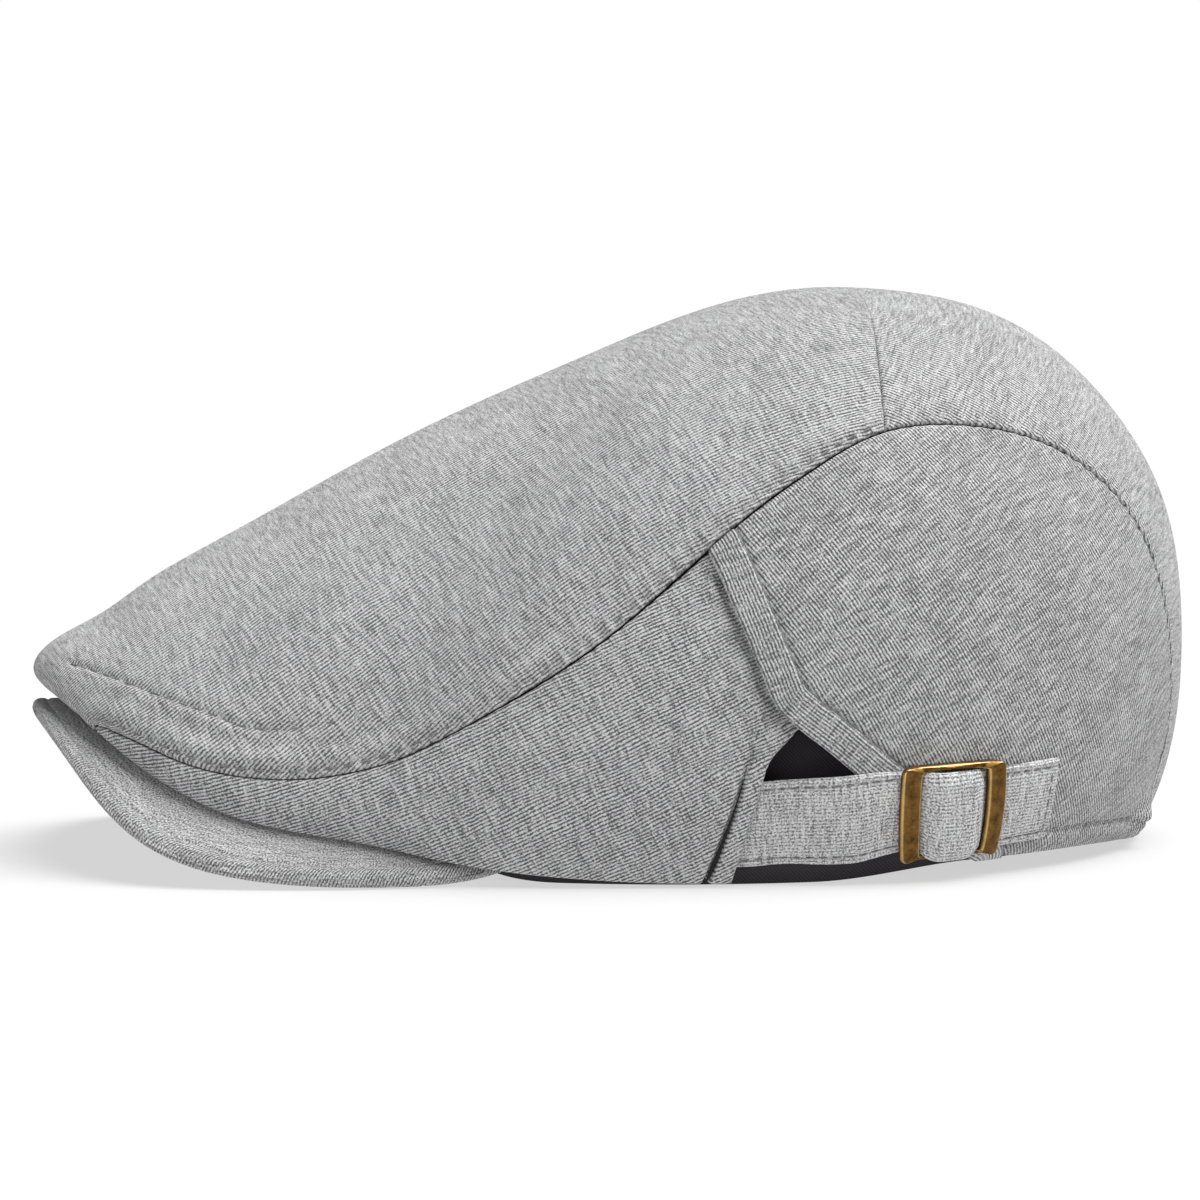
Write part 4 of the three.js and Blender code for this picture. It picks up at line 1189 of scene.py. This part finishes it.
def rounded_outline(half_long, half_wide, radius, bow):
    """Places round a rectangle with rounded corners, whose short sides bow out."""
    corners = []
    for sx, sy, start in ((1, 1, 0), (-1, 1, 90), (-1, -1, 180), (1, -1, 270)):
        turn = np.radians(start + np.linspace(0, 90, 6))
        centre = np.array([sx * (half_long - radius), sy * (half_wide - radius)])
        corners.append(centre + radius * np.stack([np.cos(turn), np.sin(turn)], -1))
    share = np.arange(1, 14)[:, None] / 14
    parts = []
    for corner, after in zip(corners, corners[1:] + corners[:1]):
        parts += [corner, corner[-1] + (after[0] - corner[-1]) * share]
    out = np.concatenate(parts)
    x, y = out.T
    out[:, 0] = x + np.sign(x) * bow * (1 - (y / half_wide) ** 2) * (np.abs(x) > half_long - radius - 0.01)
    return out


def buckles():
    opening = STRAP_WIDTH - 0.3
    full = opening + 2 * BUCKLE_RAIL - 0.2
    bar_foot = OUTER_LIFT + STRAP_THICKNESS + LAYER_GAP
    window = BUCKLE_LENGTH / 2 - BUCKLE_BAR
    outside = rounded_outline(BUCKLE_LENGTH / 2, full / 2, radius=1.3, bow=0.5)
    inside = rounded_outline(window, opening / 2, radius=0.7, bow=0.35)
    on_bar = smooth(np.abs(inside[:, 0]), window - 1.4, window - 0.6)
    levels = (OUTER_LIFT + (bar_foot - OUTER_LIFT) * on_bar, bar_foot + BUCKLE_METAL - 1.2 * (1 - on_bar))
    bevel = 0.34
    # Across the metal: share of its width, millimetres further in, foot or top, height above that, wear
    half = [(0, 0, 0, 0.0, 0.3), (0, 0, 0, bevel, 0.0), (0, 0, 1, -bevel, 0.7), (0, bevel, 1, 0.0, 0.9)]
    half += [(0, 0.6, 1, 0.06, 0.1)]
    section = half + [(0.5, 0, 1, 0.2, 0.0)] + [(1, -further, *rest) for _, further, *rest in half[::-1]]
    run = inside - outside
    along_run = unit(run)
    lines = []
    for share, further, level, raised, _ in section:
        at = outside + run * share + along_run * further
        lines.append(strap_point(BUCKLE_MIDDLE + at[:, 0], at[:, 1] + BUCKLE_RISE, levels[level] + raised))
    frame_points = np.stack(lines, 1).reshape(-1, 3)
    rows, sides = 25, 12
    across = np.linspace(-opening / 2 - 0.5, opening / 2 + 0.5, rows)
    turns = np.arange(sides) * 2 * math.pi / sides
    c, s = np.cos(turns), np.sin(turns)
    along = BUCKLE_MIDDLE + BUCKLE_MIDDLE_BAR / 2 * np.sign(c) * np.abs(c) ** 0.5
    rise = OUTER_LIFT + BUCKLE_METAL / 2 * (1 + np.sign(s) * np.abs(s) ** 0.5)
    bar = strap_point(along[None], across[:, None] + BUCKLE_RISE, rise[None])
    points = np.concatenate([frame_points, bar.reshape(-1, 3)])
    frame_faces = outward(points, ring_faces(len(outside), len(section)))
    index = len(frame_points) + np.arange(rows * sides).reshape(rows, sides)
    after = np.roll(index, -1, 1)
    bar_faces = np.stack([index[:-1], after[:-1], after[1:], index[1:]], -1).reshape(-1, 4)
    faces = np.concatenate([frame_faces, outward(points, bar_faces)])
    worn = np.concatenate([np.tile([row[-1] for row in section], len(outside)), np.full(rows * sides, 0.2)])
    dress_sides("buckle_metal", points, faces, MATERIALS["brass"], "antique_brass", "buckle", worn=worn)


top_panel()
back_strip()
front_panels()
rear_panels()
lining()
stitches()
hem_gap_shadows()
brim()
inner_band()
straps()
buckles()

# Stage, light and camera


def floor():
    size = 4.0
    mesh = bpy.data.meshes.new("floor")
    corners = [(-size, -size, 0), (size, -size, 0), (size, size, 0), (-size, size, 0)]
    mesh.from_pydata(corners, [], [(0, 1, 2, 3)])
    m = Material("floor_white")
    grain = m.noise(m.add("ShaderNodeTexCoord").outputs["Object"], 60.0, 3.0)
    inputs = {"Base Color": m.mix(grain, (0.24, 0.24, 0.24), (0.26, 0.26, 0.26)), "Roughness": 0.8}
    inputs |= {"Specular IOR Level": 0.0, "Emission Color": (1, 1, 1, 1), "Emission Strength": 0.6}
    mesh.materials.append(m.shade(inputs))
    piece = bpy.data.objects.new("floor", mesh)
    bpy.context.scene.collection.objects.link(piece)


def light(kind, name, energy, way, place=(0, 0, 0)):
    data = bpy.data.lights.new(name, kind)
    data.energy = energy
    lamp = bpy.data.objects.new(name, data)
    lamp.location = place
    lamp.rotation_euler = Vector(way).to_track_quat("-Z", "Y").to_euler()
    bpy.context.scene.collection.objects.link(lamp)
    return data


def studio():
    """A dim white sky, which is plain white behind the object."""
    world = bpy.data.worlds.new("studio")
    world.use_nodes = True
    sky = Nodes(world.node_tree)
    around = world.node_tree.nodes["Background"]
    around.inputs["Color"].default_value = (1, 1, 1, 1)
    around.inputs["Strength"].default_value = 0.2
    behind = sky.add("ShaderNodeBackground", {"Color": (1, 1, 1, 1), "Strength": 1.0})
    seen = sky.add("ShaderNodeLightPath").outputs["Is Camera Ray"]
    both = sky.add("ShaderNodeMixShader", {0: seen, 1: around.outputs[0], 2: behind.outputs[0]})
    sky.link(both.outputs[0], world.node_tree.nodes["World Output"].inputs["Surface"])
    bpy.context.scene.world = world


floor()
light("SUN", "key", 4.9, (-0.42, 0.03, -1.0)).angle = math.radians(60)
FILL_PLACE = Vector((-0.9, -1.6, 0.16))
fill_light = light("AREA", "fill", 8.0, Vector((0.0, 0.0, 0.05)) - FILL_PLACE, FILL_PLACE)
fill_light.shape = "DISK"
fill_light.size = 1.2
studio()
bpy.context.scene.view_settings.view_transform = "Standard"

AZIMUTH, ELEVATION, DISTANCE = -9.0, 4.5, 1.1
AIM = Vector((-0.003, 0.0, 0.059))
turn, climb = math.radians(AZIMUTH), math.radians(ELEVATION)
away = Vector((math.sin(turn) * math.cos(climb), -math.cos(turn) * math.cos(climb), math.sin(climb)))
lens = bpy.data.cameras.new("camera")
lens.sensor_width = 36.0
lens.lens = 135.0
camera = bpy.data.objects.new("camera", lens)
camera.location = AIM + away * DISTANCE
camera.rotation_euler = (AIM - camera.location).to_track_quat("-Z", "Y").to_euler()
bpy.context.scene.collection.objects.link(camera)
bpy.context.scene.camera = camera
